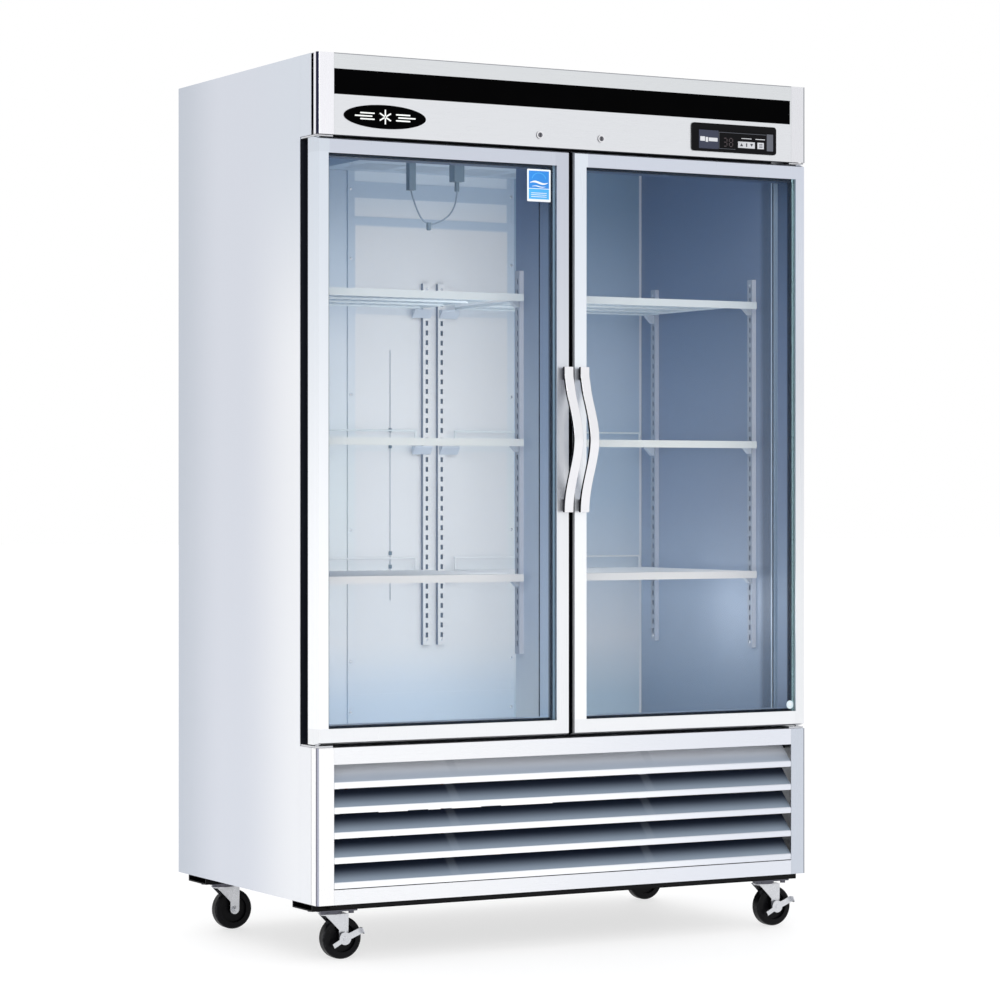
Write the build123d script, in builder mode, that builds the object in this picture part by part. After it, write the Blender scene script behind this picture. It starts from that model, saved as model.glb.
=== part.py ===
"""Two-section glass door merchandiser on casters, an upright bottom-mounted refrigerator.

Millimetres, +Z up, front towards -Y. The origin is on the floor, under the centre of the
whole object. Places along the depth are measured back from the face of the doors.
"""

import math
import os

from build123d import *

os.makedirs("parts", exist_ok=True)

# ---- Driving dimensions
half_width = 685.0  # cabinet outside, either side of centre
depth = 797.0  # face of the doors to the back of the cabinet
body_z = 137.0  # underside of the cabinet
top_z = 2119.0
handle_reach = 64.0  # how far a handle bows out from the doors
face_y = (handle_reach - depth) / 2
skin = 1.2  # outer sheet metal
sheet = 1.0  # liner sheet metal
gap = 0.2  # assembly gap between separate sheets
turn_clear = 0.05  # running clearance around pins, shafts and axles

lower_top = 502.8  # top of the lower front panel
fascia_z = 1928.5  # underside of the fascia
front_w = 641.0  # seam between a corner trim and the panel beside it
trim_front = 31.0  # where the side panels stop above and below the doors
trim_corner_r, lower_trim_deep, upper_trim_deep = 8.0, 29.5, 18.0
frame_front = 90.5  # face of the cabinet behind the doors
foam_front = frame_front + skin

# Inside of the cabinet
room_w = 645.0
room_back = 722.0
floor_z, ceiling_z = 500.0, 1962.0
mouth_z = (545.0, 1888.0)  # opening that the gaskets close
foam_z = 447.0  # underside of the insulated box
mullion_w, mullion_back = 40.0, 203.0
duct_w, duct_front = 246.0, 718.0
pocket_w, pocket_d, pocket_top = 310.0, (250.0, 690.0), 2066.0

# Doors
door_z = (510.0, 1923.0)
door_x = (3.5, half_width)  # distance from the centre line
door_depth = 48.0
view_z = (547.0, 1886.0)  # visible glass
view_x = (41.5, 655.0)
glass_lap = 8.0  # glass hidden behind the frame
pane_d = ((6.0, 10.0), (22.0, 26.0))
bevel_d, bevel_in = 18.0, 5.0
frame_wall = 6.5
backing_d = 74.0
hinge_x, hinge_d = 673.0, 23.4
hinge_pin_r, boss_r, boss_high = 5.0, 9.0, 24.0

handle_x = {-1: (-30.0, -5.0), 1: (15.0, 40.0)}
handle_z = (1049.0, 1400.0)
handle_thick, handle_stand = 9.0, 8.0

lock_x = {-1: -89.0, 1: 83.0}
lock_z, lock_r, lock_barrel_r, barrel_hole_r = 1957.0, 6.0, 9.5, 9.55
cam_d, cam_long = (25.5, 28.0), 42.0
cam_room = (-10.0, 32.0)  # slot in the top of a door, either side of its lock

# Shelves
shelf_x = (56.0, 628.0)
shelf_d = (136.0, 700.0)
shelf_levels = {"upper": 1583.0, "middle": 1228.0, "lower": 897.0}
wire_r, rod_r = 1.6, 3.0
lip_high, lip_thick, upstand = 18.0, 4.0, 30.0
clip_drop = 9.3  # clips stop this far under a shelf's top
pilaster_wide, pilaster_deep = 22.0, 12.0
pilaster_z = (700.0, 1642.0)
pilaster_front_d, pilaster_rear_d = 176.0, 644.0
slot_pitch, slot_count, slot_wide, slot_high = 25.4, 36, 7.0, 13.0
duct_post_x = 22.0  # channels on the air duct, either side of centre

# Casters
caster_x, caster_d = 610.0, (80.0, 692.0)
wheel_r, wheel_half, trail = 50.0, 15.0, 24.0
axle_r, axle_out = 5.0, 10.5
crown_z = (104.5, 107.7)
race_z = (108.0, 116.5)
plate_z = (116.5, 120.0)
kingpin_r, nut_z = 6.0, (100.5, 104.0)
leg_y = (17.5, 20.0)

# Grille
slot_z = (172.0, 463.5)
louvre_tops = [420.0 - 58.3 * row for row in range(5)]
louvre_lip, louvre_rise = 12.5, 40.0

SIDES = {"left": -1, "right": 1}


def back(near, far):
    """Limits in y for a pair of depths behind the face of the doors."""
    return (face_y + near, face_y + far)


def span(side, near, far):
    """Limits in x for a pair of distances from the centre line, on one side of it."""
    return (near, far) if side > 0 else (-far, -near)


def slab(x, y, z, mode=Mode.ADD):
    """A box between limits in x, y and z."""
    with Locations((sum(x) / 2, sum(y) / 2, sum(z) / 2)):
        Box(x[1] - x[0], y[1] - y[0], z[1] - z[0], mode=mode)


def rod(start, axis, length, radius, mode=Mode.ADD):
    """A round bar from a point, along x, y or z."""
    turn = {"x": (0, 90, 0), "y": (-90, 0, 0), "z": (0, 0, 0)}[axis]
    with Locations(Location(start, turn)):
        Cylinder(radius, length, align=(Align.CENTER, Align.CENTER, Align.MIN), mode=mode)


def write(piece, name):
    """Label a finished piece and write its file."""
    piece.part.label = name
    export_step(piece.part, f"parts/{name}.step")


inner_w = half_width - skin

# ---- Cabinet skin
with BuildPart() as side_panels:
    for side in SIDES.values():
        x = span(side, inner_w, half_width)
        slab(x, back(frame_front, depth), (body_z, top_z))
        slab(x, back(trim_front, frame_front - gap), (body_z, lower_top))
        slab(x, back(trim_front, frame_front - gap), (fascia_z, top_z))
write(side_panels, "side_panels")

vent_rows, vent_pitch, vent_z = 9, 24.0, 210.0
vent_middles, vent_long, vent_high = (-330.0, -110.0, 110.0, 330.0), 160.0, 6.0
inlet_x, inlet_z, inlet_half = -520.0, 330.0, 27.0
with BuildPart() as top_and_rear_panels:
    slab((-inner_w, inner_w), back(trim_front, depth - skin - gap), (top_z - skin, top_z))
    for side in SIDES.values():
        tongue_y = back(upper_trim_deep + gap, trim_front)
        slab(span(side, front_w, inner_w - gap), tongue_y, (top_z - skin, top_z))
    slab((-inner_w, inner_w), back(depth - skin, depth), (body_z, top_z - skin))
    for row in range(vent_rows):
        z = vent_z + row * vent_pitch
        for x in vent_middles:
            vent_x = (x - vent_long / 2, x + vent_long / 2)
            slab(vent_x, back(depth - 3, depth + 1), (z, z + vent_high), Mode.SUBTRACT)
    inlet_hole = (inlet_z - inlet_half, inlet_z + inlet_half)
    slab(
        (inlet_x - inlet_half, inlet_x + inlet_half), back(depth - 3, depth + 1), inlet_hole,
        Mode.SUBTRACT,
    )
write(top_and_rear_panels, "top_and_rear_panels")


def trim_plan(z, reach, wall):
    """Plan of a right corner trim, moved in by the thickness of its wall."""
    wide = half_width - front_w
    with BuildSketch(Plane.XY.offset(z)) as plan:
        with Locations((front_w + wide / 2 - wall, face_y + reach / 2 + wall)):
            Rectangle(wide, reach)
        fillet(plan.vertices().group_by(Axis.Y)[0].sort_by(Axis.X)[-1], trim_corner_r - wall)
    return plan.sketch


trims = (((body_z, lower_top), lower_trim_deep), ((fascia_z, top_z), upper_trim_deep))
trim_plans = [
    (z[1] - z[0], trim_plan(z[0], reach, 0), trim_plan(z[0], reach, skin)) for z, reach in trims
]
with BuildPart() as corner_trims:
    for high, outside, inside in trim_plans:
        extrude(outside, amount=high)
        extrude(inside, amount=high - skin, mode=Mode.SUBTRACT)
    mirror(about=Plane.YZ)
write(corner_trims, "corner_trims")

# ---- Insulated box
with BuildPart() as insulation:
    slab((-inner_w, inner_w), back(foam_front, depth - skin), (foam_z, top_z - skin))
    lined_w = room_w + sheet
    slab(
        (-lined_w, lined_w), back(foam_front, room_back + sheet),
        (floor_z - sheet, ceiling_z + sheet), Mode.SUBTRACT,
    )
    slab(
        (-pocket_w - sheet, pocket_w + sheet), back(pocket_d[0] - sheet, pocket_d[1] + sheet),
        (ceiling_z, pocket_top + sheet), Mode.SUBTRACT,
    )
write(insulation, "insulation")

with BuildPart() as liner:
    wall_z = (floor_z, ceiling_z)
    for side in SIDES.values():
        slab(span(side, room_w, room_w + sheet), back(foam_front, room_back - gap), wall_z)
    slab((-room_w, room_w), back(room_back, room_back + sheet), wall_z)
    level_x, level_y = (-room_w + gap, room_w - gap), back(foam_front, room_back - gap)
    slab(level_x, level_y, (floor_z - sheet, floor_z))
    slab(level_x, level_y, (ceiling_z, ceiling_z + sheet))
    slab((-pocket_w, pocket_w), back(*pocket_d), (ceiling_z - 1, ceiling_z + 2), Mode.SUBTRACT)
    pocket_z = (ceiling_z + sheet + gap, pocket_top + sheet)
    outer_y = back(pocket_d[0] - sheet, pocket_d[1] + sheet)
    slab((-pocket_w - sheet, pocket_w + sheet), outer_y, pocket_z)
    slab(
        (-pocket_w, pocket_w), back(*pocket_d), (ceiling_z + sheet + gap - 1, pocket_top),
        Mode.SUBTRACT,
    )
    slab((-inner_w, inner_w), back(foam_front, depth - skin), (foam_z - sheet, foam_z))
write(liner, "liner")

with BuildPart() as face_frame:
    plate_y = back(frame_front, foam_front)
    for side in SIDES.values():
        slab(span(side, room_w, inner_w), plate_y, (foam_z, top_z - skin))
    slab((-room_w + gap, room_w - gap), plate_y, (mouth_z[1], top_z - skin))
    slab((-room_w + gap, room_w - gap), plate_y, (foam_z, mouth_z[0]))
write(face_frame, "face_frame")

with BuildPart() as mullion:
    post_z = (floor_z + gap, ceiling_z - gap)
    slab((-mullion_w, mullion_w), back(foam_front + gap, mullion_back), post_z)
    hollow_w = mullion_w - skin
    slab(
        (-hollow_w, hollow_w), back(foam_front + gap + skin, mullion_back - skin), post_z,
        Mode.SUBTRACT,
    )
    slab(
        (-mullion_w, mullion_w), back(frame_front, foam_front + gap),
        (mouth_z[0] + gap, mouth_z[1] - gap),
    )
write(mullion, "mullion")

# ---- Fascia
fascia_sheet, fascia_lip, band_deep = 2.0, 20.0, 1.0
band_x, band_z = (-front_w + gap, 637.0), (2023.0, 2082.5)
badge_x, badge_z, badge_wide, badge_high, badge_thick = -508.0, 1976.0, 216.0, 56.0, 1.5
bezel_x, bezel_z = (342.4, 593.7), (1942.5, 2012.5)
housing_x, housing_z, housing_d = (350.0, 586.0), (1949.0, 2006.0), 45.0
fascia_x = (-front_w + gap, front_w - gap)
with BuildPart() as fascia_panel:
    slab(fascia_x, back(0, fascia_sheet), (fascia_z, top_z))
    slab(fascia_x, back(0, trim_front - gap), (top_z - skin, top_z))
    slab(fascia_x, back(0, fascia_lip), (fascia_z, fascia_z + skin))
    slab(band_x, back(-1, band_deep), band_z, Mode.SUBTRACT)
    slab(housing_x, back(-1, fascia_sheet + 1), housing_z, Mode.SUBTRACT)
    for x in lock_x.values():
        rod((x, face_y - 1, lock_z), "y", fascia_sheet + 2, barrel_hole_r, Mode.SUBTRACT)
write(fascia_panel, "fascia_panel")

with BuildPart() as fascia_trim:
    slab(band_x, back(0.1, band_deep), band_z)
    with BuildSketch(Plane.XZ.offset(-face_y)) as oval:
        with Locations((badge_x, badge_z)):
            Ellipse(badge_wide / 2, badge_high / 2)
    extrude(amount=badge_thick)
write(fascia_trim, "fascia_trim")

bezel_out, bezel_r, screen_floor = 3.0, 8.0, 1.5
screen_x, screen_z = (362.6, 586.8), (1948.0, 1997.0)
level_key_x, set_key_x, key_z = (480.0, 530.0), (538.0, 557.0), (1956.0, 1972.0)
key_d, key_room = (-2.6, 3.0), 0.4
with BuildPart() as controller:
    with BuildSketch(Plane.XZ.offset(-face_y)) as bezel:
        with Locations((sum(bezel_x) / 2, sum(bezel_z) / 2)):
            RectangleRounded(bezel_x[1] - bezel_x[0], bezel_z[1] - bezel_z[0], bezel_r)
    extrude(amount=bezel_out)
    slab(housing_x, back(0, housing_d), housing_z)
    slab(screen_x, back(-bezel_out, -screen_floor), screen_z, Mode.SUBTRACT)
    for x in (level_key_x, set_key_x):
        slab(
            (x[0] - key_room, x[1] + key_room), back(-4, 6),
            (key_z[0] - key_room, key_z[1] + key_room), Mode.SUBTRACT,
        )
write(controller, "controller")

for name, x in (("level_key", level_key_x), ("set_key", set_key_x)):
    with BuildPart() as key:
        slab(x, back(*key_d), key_z)
        fillet(key.edges().group_by(Axis.Y)[0], 1)
    write(key, name)

# ---- Door locks
barrel_out, barrel_long, plug_out = 2.0, 26.0, 2.5
keyway_half, keyway_deep, cam_half = 0.8, 4.0, 6.0
with BuildPart() as lock_cylinders:
    for x in lock_x.values():
        rod((x, face_y - barrel_out, lock_z), "y", barrel_long, lock_barrel_r)
        rod((x, face_y - barrel_out - 1, lock_z), "y", barrel_long + 2, lock_r + turn_clear, Mode.SUBTRACT)
write(lock_cylinders, "lock_cylinders")

for name, side in SIDES.items():
    with BuildPart() as lock_plug:
        x = lock_x[side]
        rod((x, face_y - plug_out, lock_z), "y", cam_d[0] + plug_out, lock_r)
        keyway_z = (lock_z - keyway_deep, lock_z + keyway_deep)
        slab((x - keyway_half, x + keyway_half), back(-3, keyway_deep), keyway_z, Mode.SUBTRACT)
        cam_x = sorted((x + side * cam_half, x - side * cam_long))
        slab(cam_x, back(*cam_d), (lock_z - cam_half, lock_z + cam_half))
        fillet(lock_plug.edges().filter_by(Axis.Y).group_by(Axis.Y)[-1], 4)
    write(lock_plug, f"{name}_lock_plug")

# ---- Doors
pin_z = {"lower": (507.2, 530.0), "upper": (1904.0, 1924.2)}
bracket_x, bracket_d, flange_thick = (640.0, 683.0), (8.0, 90.3), 3.0
brackets = (  # plate, and flange against the cabinet, in z
    ((503.2, 507.2), (465.0, 503.2)),
    ((1924.2, 1927.8), (1927.8, 1966.0)),
)
with BuildPart() as hinge_brackets:
    for side in SIDES.values():
        x = span(side, *bracket_x)
        for plate, flange in brackets:
            slab(x, back(*bracket_d), plate)
            slab(x, back(bracket_d[1] - flange_thick, bracket_d[1]), flange)
        for low, high in pin_z.values():
            rod((side * hinge_x, face_y + hinge_d, low), "z", high - low, hinge_pin_r)
write(hinge_brackets, "hinge_brackets")


def ring(side, outer, inner, y, outer_z, inner_z):
    """A rectangular ring of a door, from distances to the centre line."""
    slab(span(side, *outer), y, outer_z)
    slab(span(side, *inner), (y[0] - 1, y[1] + 1), inner_z, Mode.SUBTRACT)


def grown(limits, amount):
    """Limits moved apart by an amount, or together if it is negative."""
    return (limits[0] - amount, limits[1] + amount)


rabbet_clear, rabbet_wall, throat_in, spacer_in = 0.3, 1.5, 5.0, 6.0
backing_x, backing_z = (12.0, 668.0), (516.0, 1917.0)
seal_x, seal_z = (27.0, 658.0), (531.0, 1902.0)  # middle of the gasket
seal_steps = ((9.0, backing_d, 77.5), (5.0, 77.5, 82.0), (10.0, 82.0, frame_front - 0.3))
foot_in, foot_high, foot_end, handle_edge_r = 4.0, 28.0, 3.0, 1.2

for name, side in SIDES.items():
    with BuildPart() as door_frame:
        door_y = back(bevel_d, door_depth)
        with BuildSketch(Plane.XZ.offset(-door_y[0])) as outline:
            with Locations((side * sum(door_x) / 2, sum(door_z) / 2)):
                Rectangle(door_x[1] - door_x[0], door_z[1] - door_z[0])
        extrude(amount=bevel_d, taper=math.degrees(math.atan(bevel_in / bevel_d)))
        slab(span(side, *door_x), door_y, door_z)
        hollow_y = back(pane_d[0][0], door_depth)
        cavity_x, cavity_z = grown(door_x, -frame_wall), grown(door_z, -frame_wall)
        slab(span(side, *cavity_x), hollow_y, cavity_z, Mode.SUBTRACT)
        rabbet = glass_lap + rabbet_clear
        rabbet_x, rabbet_z = grown(view_x, rabbet), grown(view_z, rabbet)
        slab(span(side, *grown(rabbet_x, rabbet_wall)), hollow_y, grown(rabbet_z, rabbet_wall))
        for boss_low in (door_z[0], door_z[1] - boss_high):
            rod((side * hinge_x, face_y + hinge_d, boss_low), "z", boss_high, boss_r)
        slab(span(side, *rabbet_x), hollow_y, rabbet_z, Mode.SUBTRACT)
        slab(span(side, *view_x), back(-1, pane_d[0][0] + 1), view_z, Mode.SUBTRACT)
        for pin_low, pin_high in pin_z.values():
            rod(
                (side * hinge_x, face_y + hinge_d, pin_low - 2), "z", pin_high - pin_low + 4,
                hinge_pin_r + turn_clear, Mode.SUBTRACT,
            )
        slot_x = sorted(lock_x[side] - side * reach for reach in cam_room)
        slab(
            slot_x, back(22, 32),
            (door_z[1] - frame_wall - 1, door_z[1] + 1), Mode.SUBTRACT,
        )
    write(door_frame, f"{name}_door_frame")

    with BuildPart() as door_backing:
        throat_x, throat_z = grown(view_x, -throat_in), grown(view_z, -throat_in)
        ring(side, backing_x, throat_x, back(door_depth, backing_d), backing_z, throat_z)
        seat = glass_lap - rabbet_clear
        ring(
            side, grown(view_x, seat), throat_x, back(pane_d[1][1], door_depth),
            grown(view_z, seat), throat_z,
        )
        ring(
            side, grown(view_x, seat), grown(view_x, -spacer_in),
            back(pane_d[0][1], pane_d[1][0]), grown(view_z, seat), grown(view_z, -spacer_in),
        )
    write(door_backing, f"{name}_door_backing")

    with BuildPart() as door_glass:
        for pane in pane_d:
            slab(span(side, *grown(view_x, glass_lap)), back(*pane), grown(view_z, glass_lap))
    write(door_glass, f"{name}_glass")

    with BuildPart() as gasket:
        for half, near, far in seal_steps:
            ring(
                side, grown(seal_x, half), grown(seal_x, -half), back(near, far),
                grown(seal_z, half), grown(seal_z, -half),
            )
    write(gasket, f"{name}_gasket")

    with BuildPart() as handle:
        x = handle_x[side]
        middle_z, half_z = sum(handle_z) / 2, (handle_z[1] - handle_z[0]) / 2
        rise = handle_reach - handle_stand - handle_thick
        outer_points, inner_points = [], []
        for step in range(-6, 7):
            turn = math.pi * step / 6
            lift, slope = rise * (1 + math.cos(turn)) / 2, rise * math.sin(turn) / 2
            slope *= -math.pi / half_z
            steep = math.hypot(1, slope)
            along, out = middle_z + half_z * step / 6, handle_stand + lift
            inner_points.append((face_y - out, along))
            outer_points.append(
                (face_y - out - handle_thick / steep, along + handle_thick * slope / steep)
            )
        with BuildSketch(Plane.YZ.offset(x[0])) as side_view:
            with BuildLine():
                outer = Spline(outer_points, tangents=[(0, 1), (0, 1)])
                inner = Spline(inner_points, tangents=[(0, 1), (0, 1)])
                Line(outer @ 0, inner @ 0)
                Line(outer @ 1, inner @ 1)
            make_face()
        extrude(amount=x[1] - x[0])
        fillet(handle.edges().filter_by(GeomType.BSPLINE), handle_edge_r)
        foot_y = back(-handle_stand - handle_thick / 3, 0)
        for foot_low in (handle_z[0] + foot_end, handle_z[1] - foot_end - foot_high):
            slab(grown(x, -foot_in), foot_y, (foot_low, foot_low + foot_high))
    write(handle, f"{name}_handle")

# ---- Shelf supports
half_post = pilaster_wide / 2
with BuildPart() as channel:  # standing at x = 0 against a wall on its -X side
    slab((0, pilaster_deep), (-half_post, half_post), pilaster_z)
    inside = half_post - skin
    slab((-1, pilaster_deep - skin), (-inside, inside), pilaster_z, Mode.SUBTRACT)
    first_slot = pilaster_z[0] + 26
    with Locations(*[(pilaster_deep, 0, first_slot + slot_pitch * i) for i in range(slot_count)]):
        Box(6, slot_wide, slot_high, mode=Mode.SUBTRACT)

posts = []  # place and facing of each channel
for side in SIDES.values():
    facing = 0 if side > 0 else 180
    posts.append(Location((side * mullion_w, face_y + pilaster_front_d, 0), (0, 0, facing)))
    for middle in (pilaster_front_d, pilaster_rear_d):
        posts.append(Location((side * room_w, face_y + middle, 0), (0, 0, 180 - facing)))
    posts.append(Location((side * duct_post_x, face_y + duct_front, 0), (0, 0, -90)))
with BuildPart() as shelf_pilasters:
    with Locations(*posts):
        add(channel.part)
write(shelf_pilasters, "shelf_pilasters")

clip_out, clip_high, clip_half, clip_nose, clip_toe = 23.0, 22.0, 8.0, 4.0, 5.0
duct_clip_out, duct_clip_x = 18.0, (duct_post_x - 8, 66.0)


def clip_points(foot, facing, reach, rest_z):
    """Outline of a gusset standing out from a channel's face, under a shelf."""
    return [
        (foot, rest_z), (foot + facing * reach, rest_z),
        (foot + facing * reach, rest_z - clip_nose), (foot + facing * clip_toe, rest_z - clip_high),
        (foot, rest_z - clip_high),
    ]


with BuildPart() as shelf_clips:
    for level in shelf_levels.values():
        rest_z = level - clip_drop
        for side in SIDES.values():
            for near, into, depths in (
                (mullion_w + pilaster_deep, 1, (pilaster_front_d,)),
                (room_w - pilaster_deep, -1, (pilaster_front_d, pilaster_rear_d)),
            ):
                for middle in depths:
                    outline_points = clip_points(side * near, side * into, clip_out, rest_z)
                    with BuildSketch(Plane.XZ.offset(-face_y - middle + clip_half)):
                        with BuildLine():
                            Polyline(*outline_points, close=True)
                        make_face()
                    extrude(amount=-2 * clip_half)
            clip_x = span(side, *duct_clip_x)
            duct_face = face_y + duct_front - pilaster_deep
            with BuildSketch(Plane.YZ.offset(clip_x[0])):
                with BuildLine():
                    Polyline(*clip_points(duct_face, -1, duct_clip_out, rest_z), close=True)
                make_face()
            extrude(amount=clip_x[1] - clip_x[0])
write(shelf_clips, "shelf_clips")

# ---- Wire shelves
wire_count, guard_r = 21, 2.4
cross_rods = (22.0, 150.0, 278.0, 406.0, 534.0)  # behind the front of a shelf
shelf_wide, shelf_deep = shelf_x[1] - shelf_x[0], shelf_d[1] - shelf_d[0]
with BuildPart() as wire_shelf:  # front left corner of its top at the origin
    step = (shelf_wide - 2 * rod_r) / (wire_count - 1)
    wire_x = [rod_r + step * i for i in range(wire_count)]
    rod_z = 0.4 - 2 * wire_r - rod_r
    from_low = (Align.CENTER, Align.CENTER, Align.MIN)
    with Locations(*[Location((x, 2, -wire_r), (-90, 0, 0)) for x in wire_x]):
        Cylinder(wire_r, shelf_deep - 2, align=from_low)
    with Locations(*[(x, shelf_deep, -wire_r) for x in (wire_x[0], wire_x[-1])]):
        Cylinder(guard_r, upstand, align=from_low)
    with Locations(*[Location((0, y, rod_z), (0, 90, 0)) for y in cross_rods]):
        Cylinder(rod_r, shelf_wide, align=from_low)
    with Locations(*[Location((x, 2, rod_z), (-90, 0, 0)) for x in (wire_x[0], wire_x[-1])]):
        Cylinder(rod_r, shelf_deep - 4, align=from_low)
    rod((0, shelf_deep, upstand), "x", shelf_wide, guard_r)
    slab((0, shelf_wide), (0, lip_thick), (-lip_high, 0))

for name, side in SIDES.items():
    for level_name, level in shelf_levels.items():
        with BuildPart() as shelf:
            with Locations((span(side, *shelf_x)[0], face_y + shelf_d[0], level)):
                add(wire_shelf.part)
        write(shelf, f"{name}_{level_name}_shelf")

# ---- Air duct, evaporator and light
fan_x, fan_d, fan_mouth_r = 60.0, 340.0, 104.0
cover_w, cover_d, cover_z = 330.0, (215.0, 717.0), (1928.0, ceiling_z - gap)
return_x, return_half, return_d, return_pitch = (-225.0, -75.0, 75.0, 225.0), 60.0, (540.0, 550.0), 24.0
duct_bands = ((1810.0, 1859.0), (1900.0, 1926.0), (576.0, 602.0))  # two outlets and an inlet
band_in, band_sink = 6.0, 2.5
with BuildPart() as evaporator_cover:
    slab((-cover_w, cover_w), back(*cover_d), cover_z)
    slab(
        (skin - cover_w, cover_w - skin), back(cover_d[0] + skin, cover_d[1] - skin),
        (cover_z[0] + skin, cover_z[1] + 1), Mode.SUBTRACT,
    )
    through_z = (cover_z[0] - 1, cover_z[0] + skin + 1)
    rod((fan_x, face_y + fan_d, through_z[0]), "z", skin + 2, fan_mouth_r, Mode.SUBTRACT)
    for row in range(6):
        row_y = back(*(d + return_pitch * row for d in return_d))
        for x in return_x:
            slab((x - return_half, x + return_half), row_y, through_z, Mode.SUBTRACT)
    slab((-duct_w, duct_w), back(duct_front, room_back), (floor_z + 2, ceiling_z - 4))
    for band in duct_bands:
        slab((band_in - duct_w, duct_w - band_in), back(duct_front - 1, duct_front + band_sink), band,
             Mode.SUBTRACT)
write(evaporator_cover, "evaporator_cover")

fin_half, coil_tube_r = 0.6, 4.8
fin_count, fin_first, fin_pitch, fin_d, fin_z = 25, -276.0, 23.0, (480.0, 660.0), (1978.0, 2056.0)
with BuildPart() as evaporator_coil:
    for i in range(fin_count):
        x = fin_first + fin_pitch * i
        slab((x - fin_half, x + fin_half), back(*fin_d), fin_z)
    for tube_d in (510, 570, 630):
        for tube_z in (1998, 2036):
            tube_start = (fin_first - 8, face_y + tube_d, tube_z)
            rod(tube_start, "x", 16 - 2 * fin_first, coil_tube_r)
write(evaporator_coil, "evaporator_coil")

shaft_r, hub_r, root_r, blade_thick, blade_pitch = 4.0, 22.0, 16.0, 2.0, 24.0
evap_fan_z, evap_fan_r, cond_fan_r = 1946.0, 94.0, 118.0
cond_x, cond_d, cond_z = 300.0, 215.0, 290.0


def fan(plane_axis, centre, radius, blades, start, hub_long):
    """A hub with pitched blades around the local z axis of a plane, bored for its shaft."""
    plane = Plane(origin=centre, x_dir=(1, 0, 0), z_dir=plane_axis)
    with BuildPart(plane) as rotor:
        Cylinder(hub_r, hub_long)
        with PolarLocations((radius + root_r) / 2, blades, start_angle=start):
            Box(radius - root_r, 0.44 * radius, blade_thick, rotation=(blade_pitch, 0, 0))
        Cylinder(radius, hub_long + 60, mode=Mode.INTERSECT)
        Cylinder(shaft_r + turn_clear, hub_long + 80, mode=Mode.SUBTRACT)
    return rotor


evaporator_fan = fan((0, 0, 1), (fan_x, face_y + fan_d, evap_fan_z), evap_fan_r, 5, 10, 22)
write(evaporator_fan, "evaporator_fan")
condenser_fan = fan((0, 1, 0), (cond_x, face_y + cond_d, cond_z), cond_fan_r, 5, 0, 26)
write(condenser_fan, "condenser_fan")

evap_motor_r, evap_motor_z, strap_z = 34.0, (1964.0, 2016.0), (2004.0, 2007.0)
cond_motor_r, cond_motor_d, stand_d, bracket_half = 42.0, (238.0, 308.0), (270.0, 290.0), 12.0
comp_x, comp_d, comp_z = -330.0, 560.0, 138.2
with BuildPart() as fan_motors:
    rod((fan_x, face_y + fan_d, evap_motor_z[0]), "z", evap_motor_z[1] - evap_motor_z[0], evap_motor_r)
    shaft_low = evap_fan_z - 13
    rod((fan_x, face_y + fan_d, shaft_low), "z", evap_motor_z[0] - shaft_low, shaft_r)
    strap_y = back(fan_d - bracket_half, fan_d + bracket_half)
    slab((2 - pocket_w, pocket_w - 2), strap_y, strap_z)
    motor_y = back(*cond_motor_d)
    rod((cond_x, motor_y[0], cond_z), "y", motor_y[1] - motor_y[0], cond_motor_r)
    shaft_d = cond_d - 15
    rod((cond_x, face_y + shaft_d, cond_z), "y", cond_motor_d[0] - shaft_d, shaft_r)
    slab((cond_x - bracket_half, cond_x + bracket_half), back(*stand_d), (comp_z + gap, cond_z))
write(fan_motors, "fan_motors")

tube_x, tube_d, tube_z, tube_r = (75.0, 605.0), 128.0, 1934.0, 12.5
holder_half_d, holder_long, holder_low = 20.0, 16.0, 1915.0
with BuildPart() as light_tubes:
    for side in SIDES.values():
        tube_start = (span(side, *tube_x)[0], face_y + tube_d, tube_z)
        rod(tube_start, "x", tube_x[1] - tube_x[0], tube_r)
        for x in (tube_x[0] - 5, tube_x[1] + 5 - 14):
            holder_y = back(tube_d - holder_half_d, tube_d + holder_half_d)
            slab(span(side, x, x + holder_long), holder_y, (holder_low, ceiling_z - gap))
write(light_tubes, "light_tubes")

# ---- Temperature sensor, hanging from two anchors under the evaporator cover
lead_d, lead_r = 398.4, 2.0
lead_route = [
    (-100, 1853), (-102, 1832), (-108, 1812), (-119, 1795), (-135, 1782), (-154, 1773),
    (-173, 1767), (-191, 1771), (-204, 1785), (-214, 1804), (-223, 1826), (-230, 1850),
]
anchors = ((-100, 14, 1877), (-230, 9, 1850))  # x, half width, underside
with BuildPart() as sensor_clips:
    lead_y = face_y + lead_d
    for x, half, under in anchors:
        slab((x - half, x + half), (lead_y - half, lead_y + half), (under, cover_z[0]))
    rod((anchors[0][0], lead_y, 1853), "z", 24, 6)
    rod((-180, lead_y, 1752), "z", 20, 6)
    fillet(sensor_clips.edges().filter_by(GeomType.CIRCLE).group_by(Axis.Z)[0], 4)
write(sensor_clips, "sensor_clips")

radii, lengths, turns = [], [], []
for start, end in zip(lead_route, lead_route[1:]):
    lengths.append(math.dist(start, end))
for before, here, after in zip(lead_route, lead_route[1:], lead_route[2:]):
    turn = Vector(here[0] - before[0], here[1] - before[1]).get_angle(
        Vector(after[0] - here[0], after[1] - here[1])
    )
    turns.append(turn)
for i, turn in enumerate(turns):
    shorter = min(lengths[i], lengths[i + 1])
    radii.append(0.45 * shorter / math.tan(math.radians(turn / 2)))
print("sensor lead radii", [round(r, 1) for r in radii])
with BuildPart() as sensor_lead:
    with BuildLine(Plane.XZ.offset(-face_y - lead_d)) as route:
        FilletPolyline(*lead_route, radius=radii)
    with BuildSketch(Plane(origin=route.line @ 0, z_dir=route.line % 0)):
        Circle(lead_r)
    sweep()
lead_length = sum(edge.length for edge in route.edges())
print("sensor lead length", round(lead_length, 1))
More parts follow.
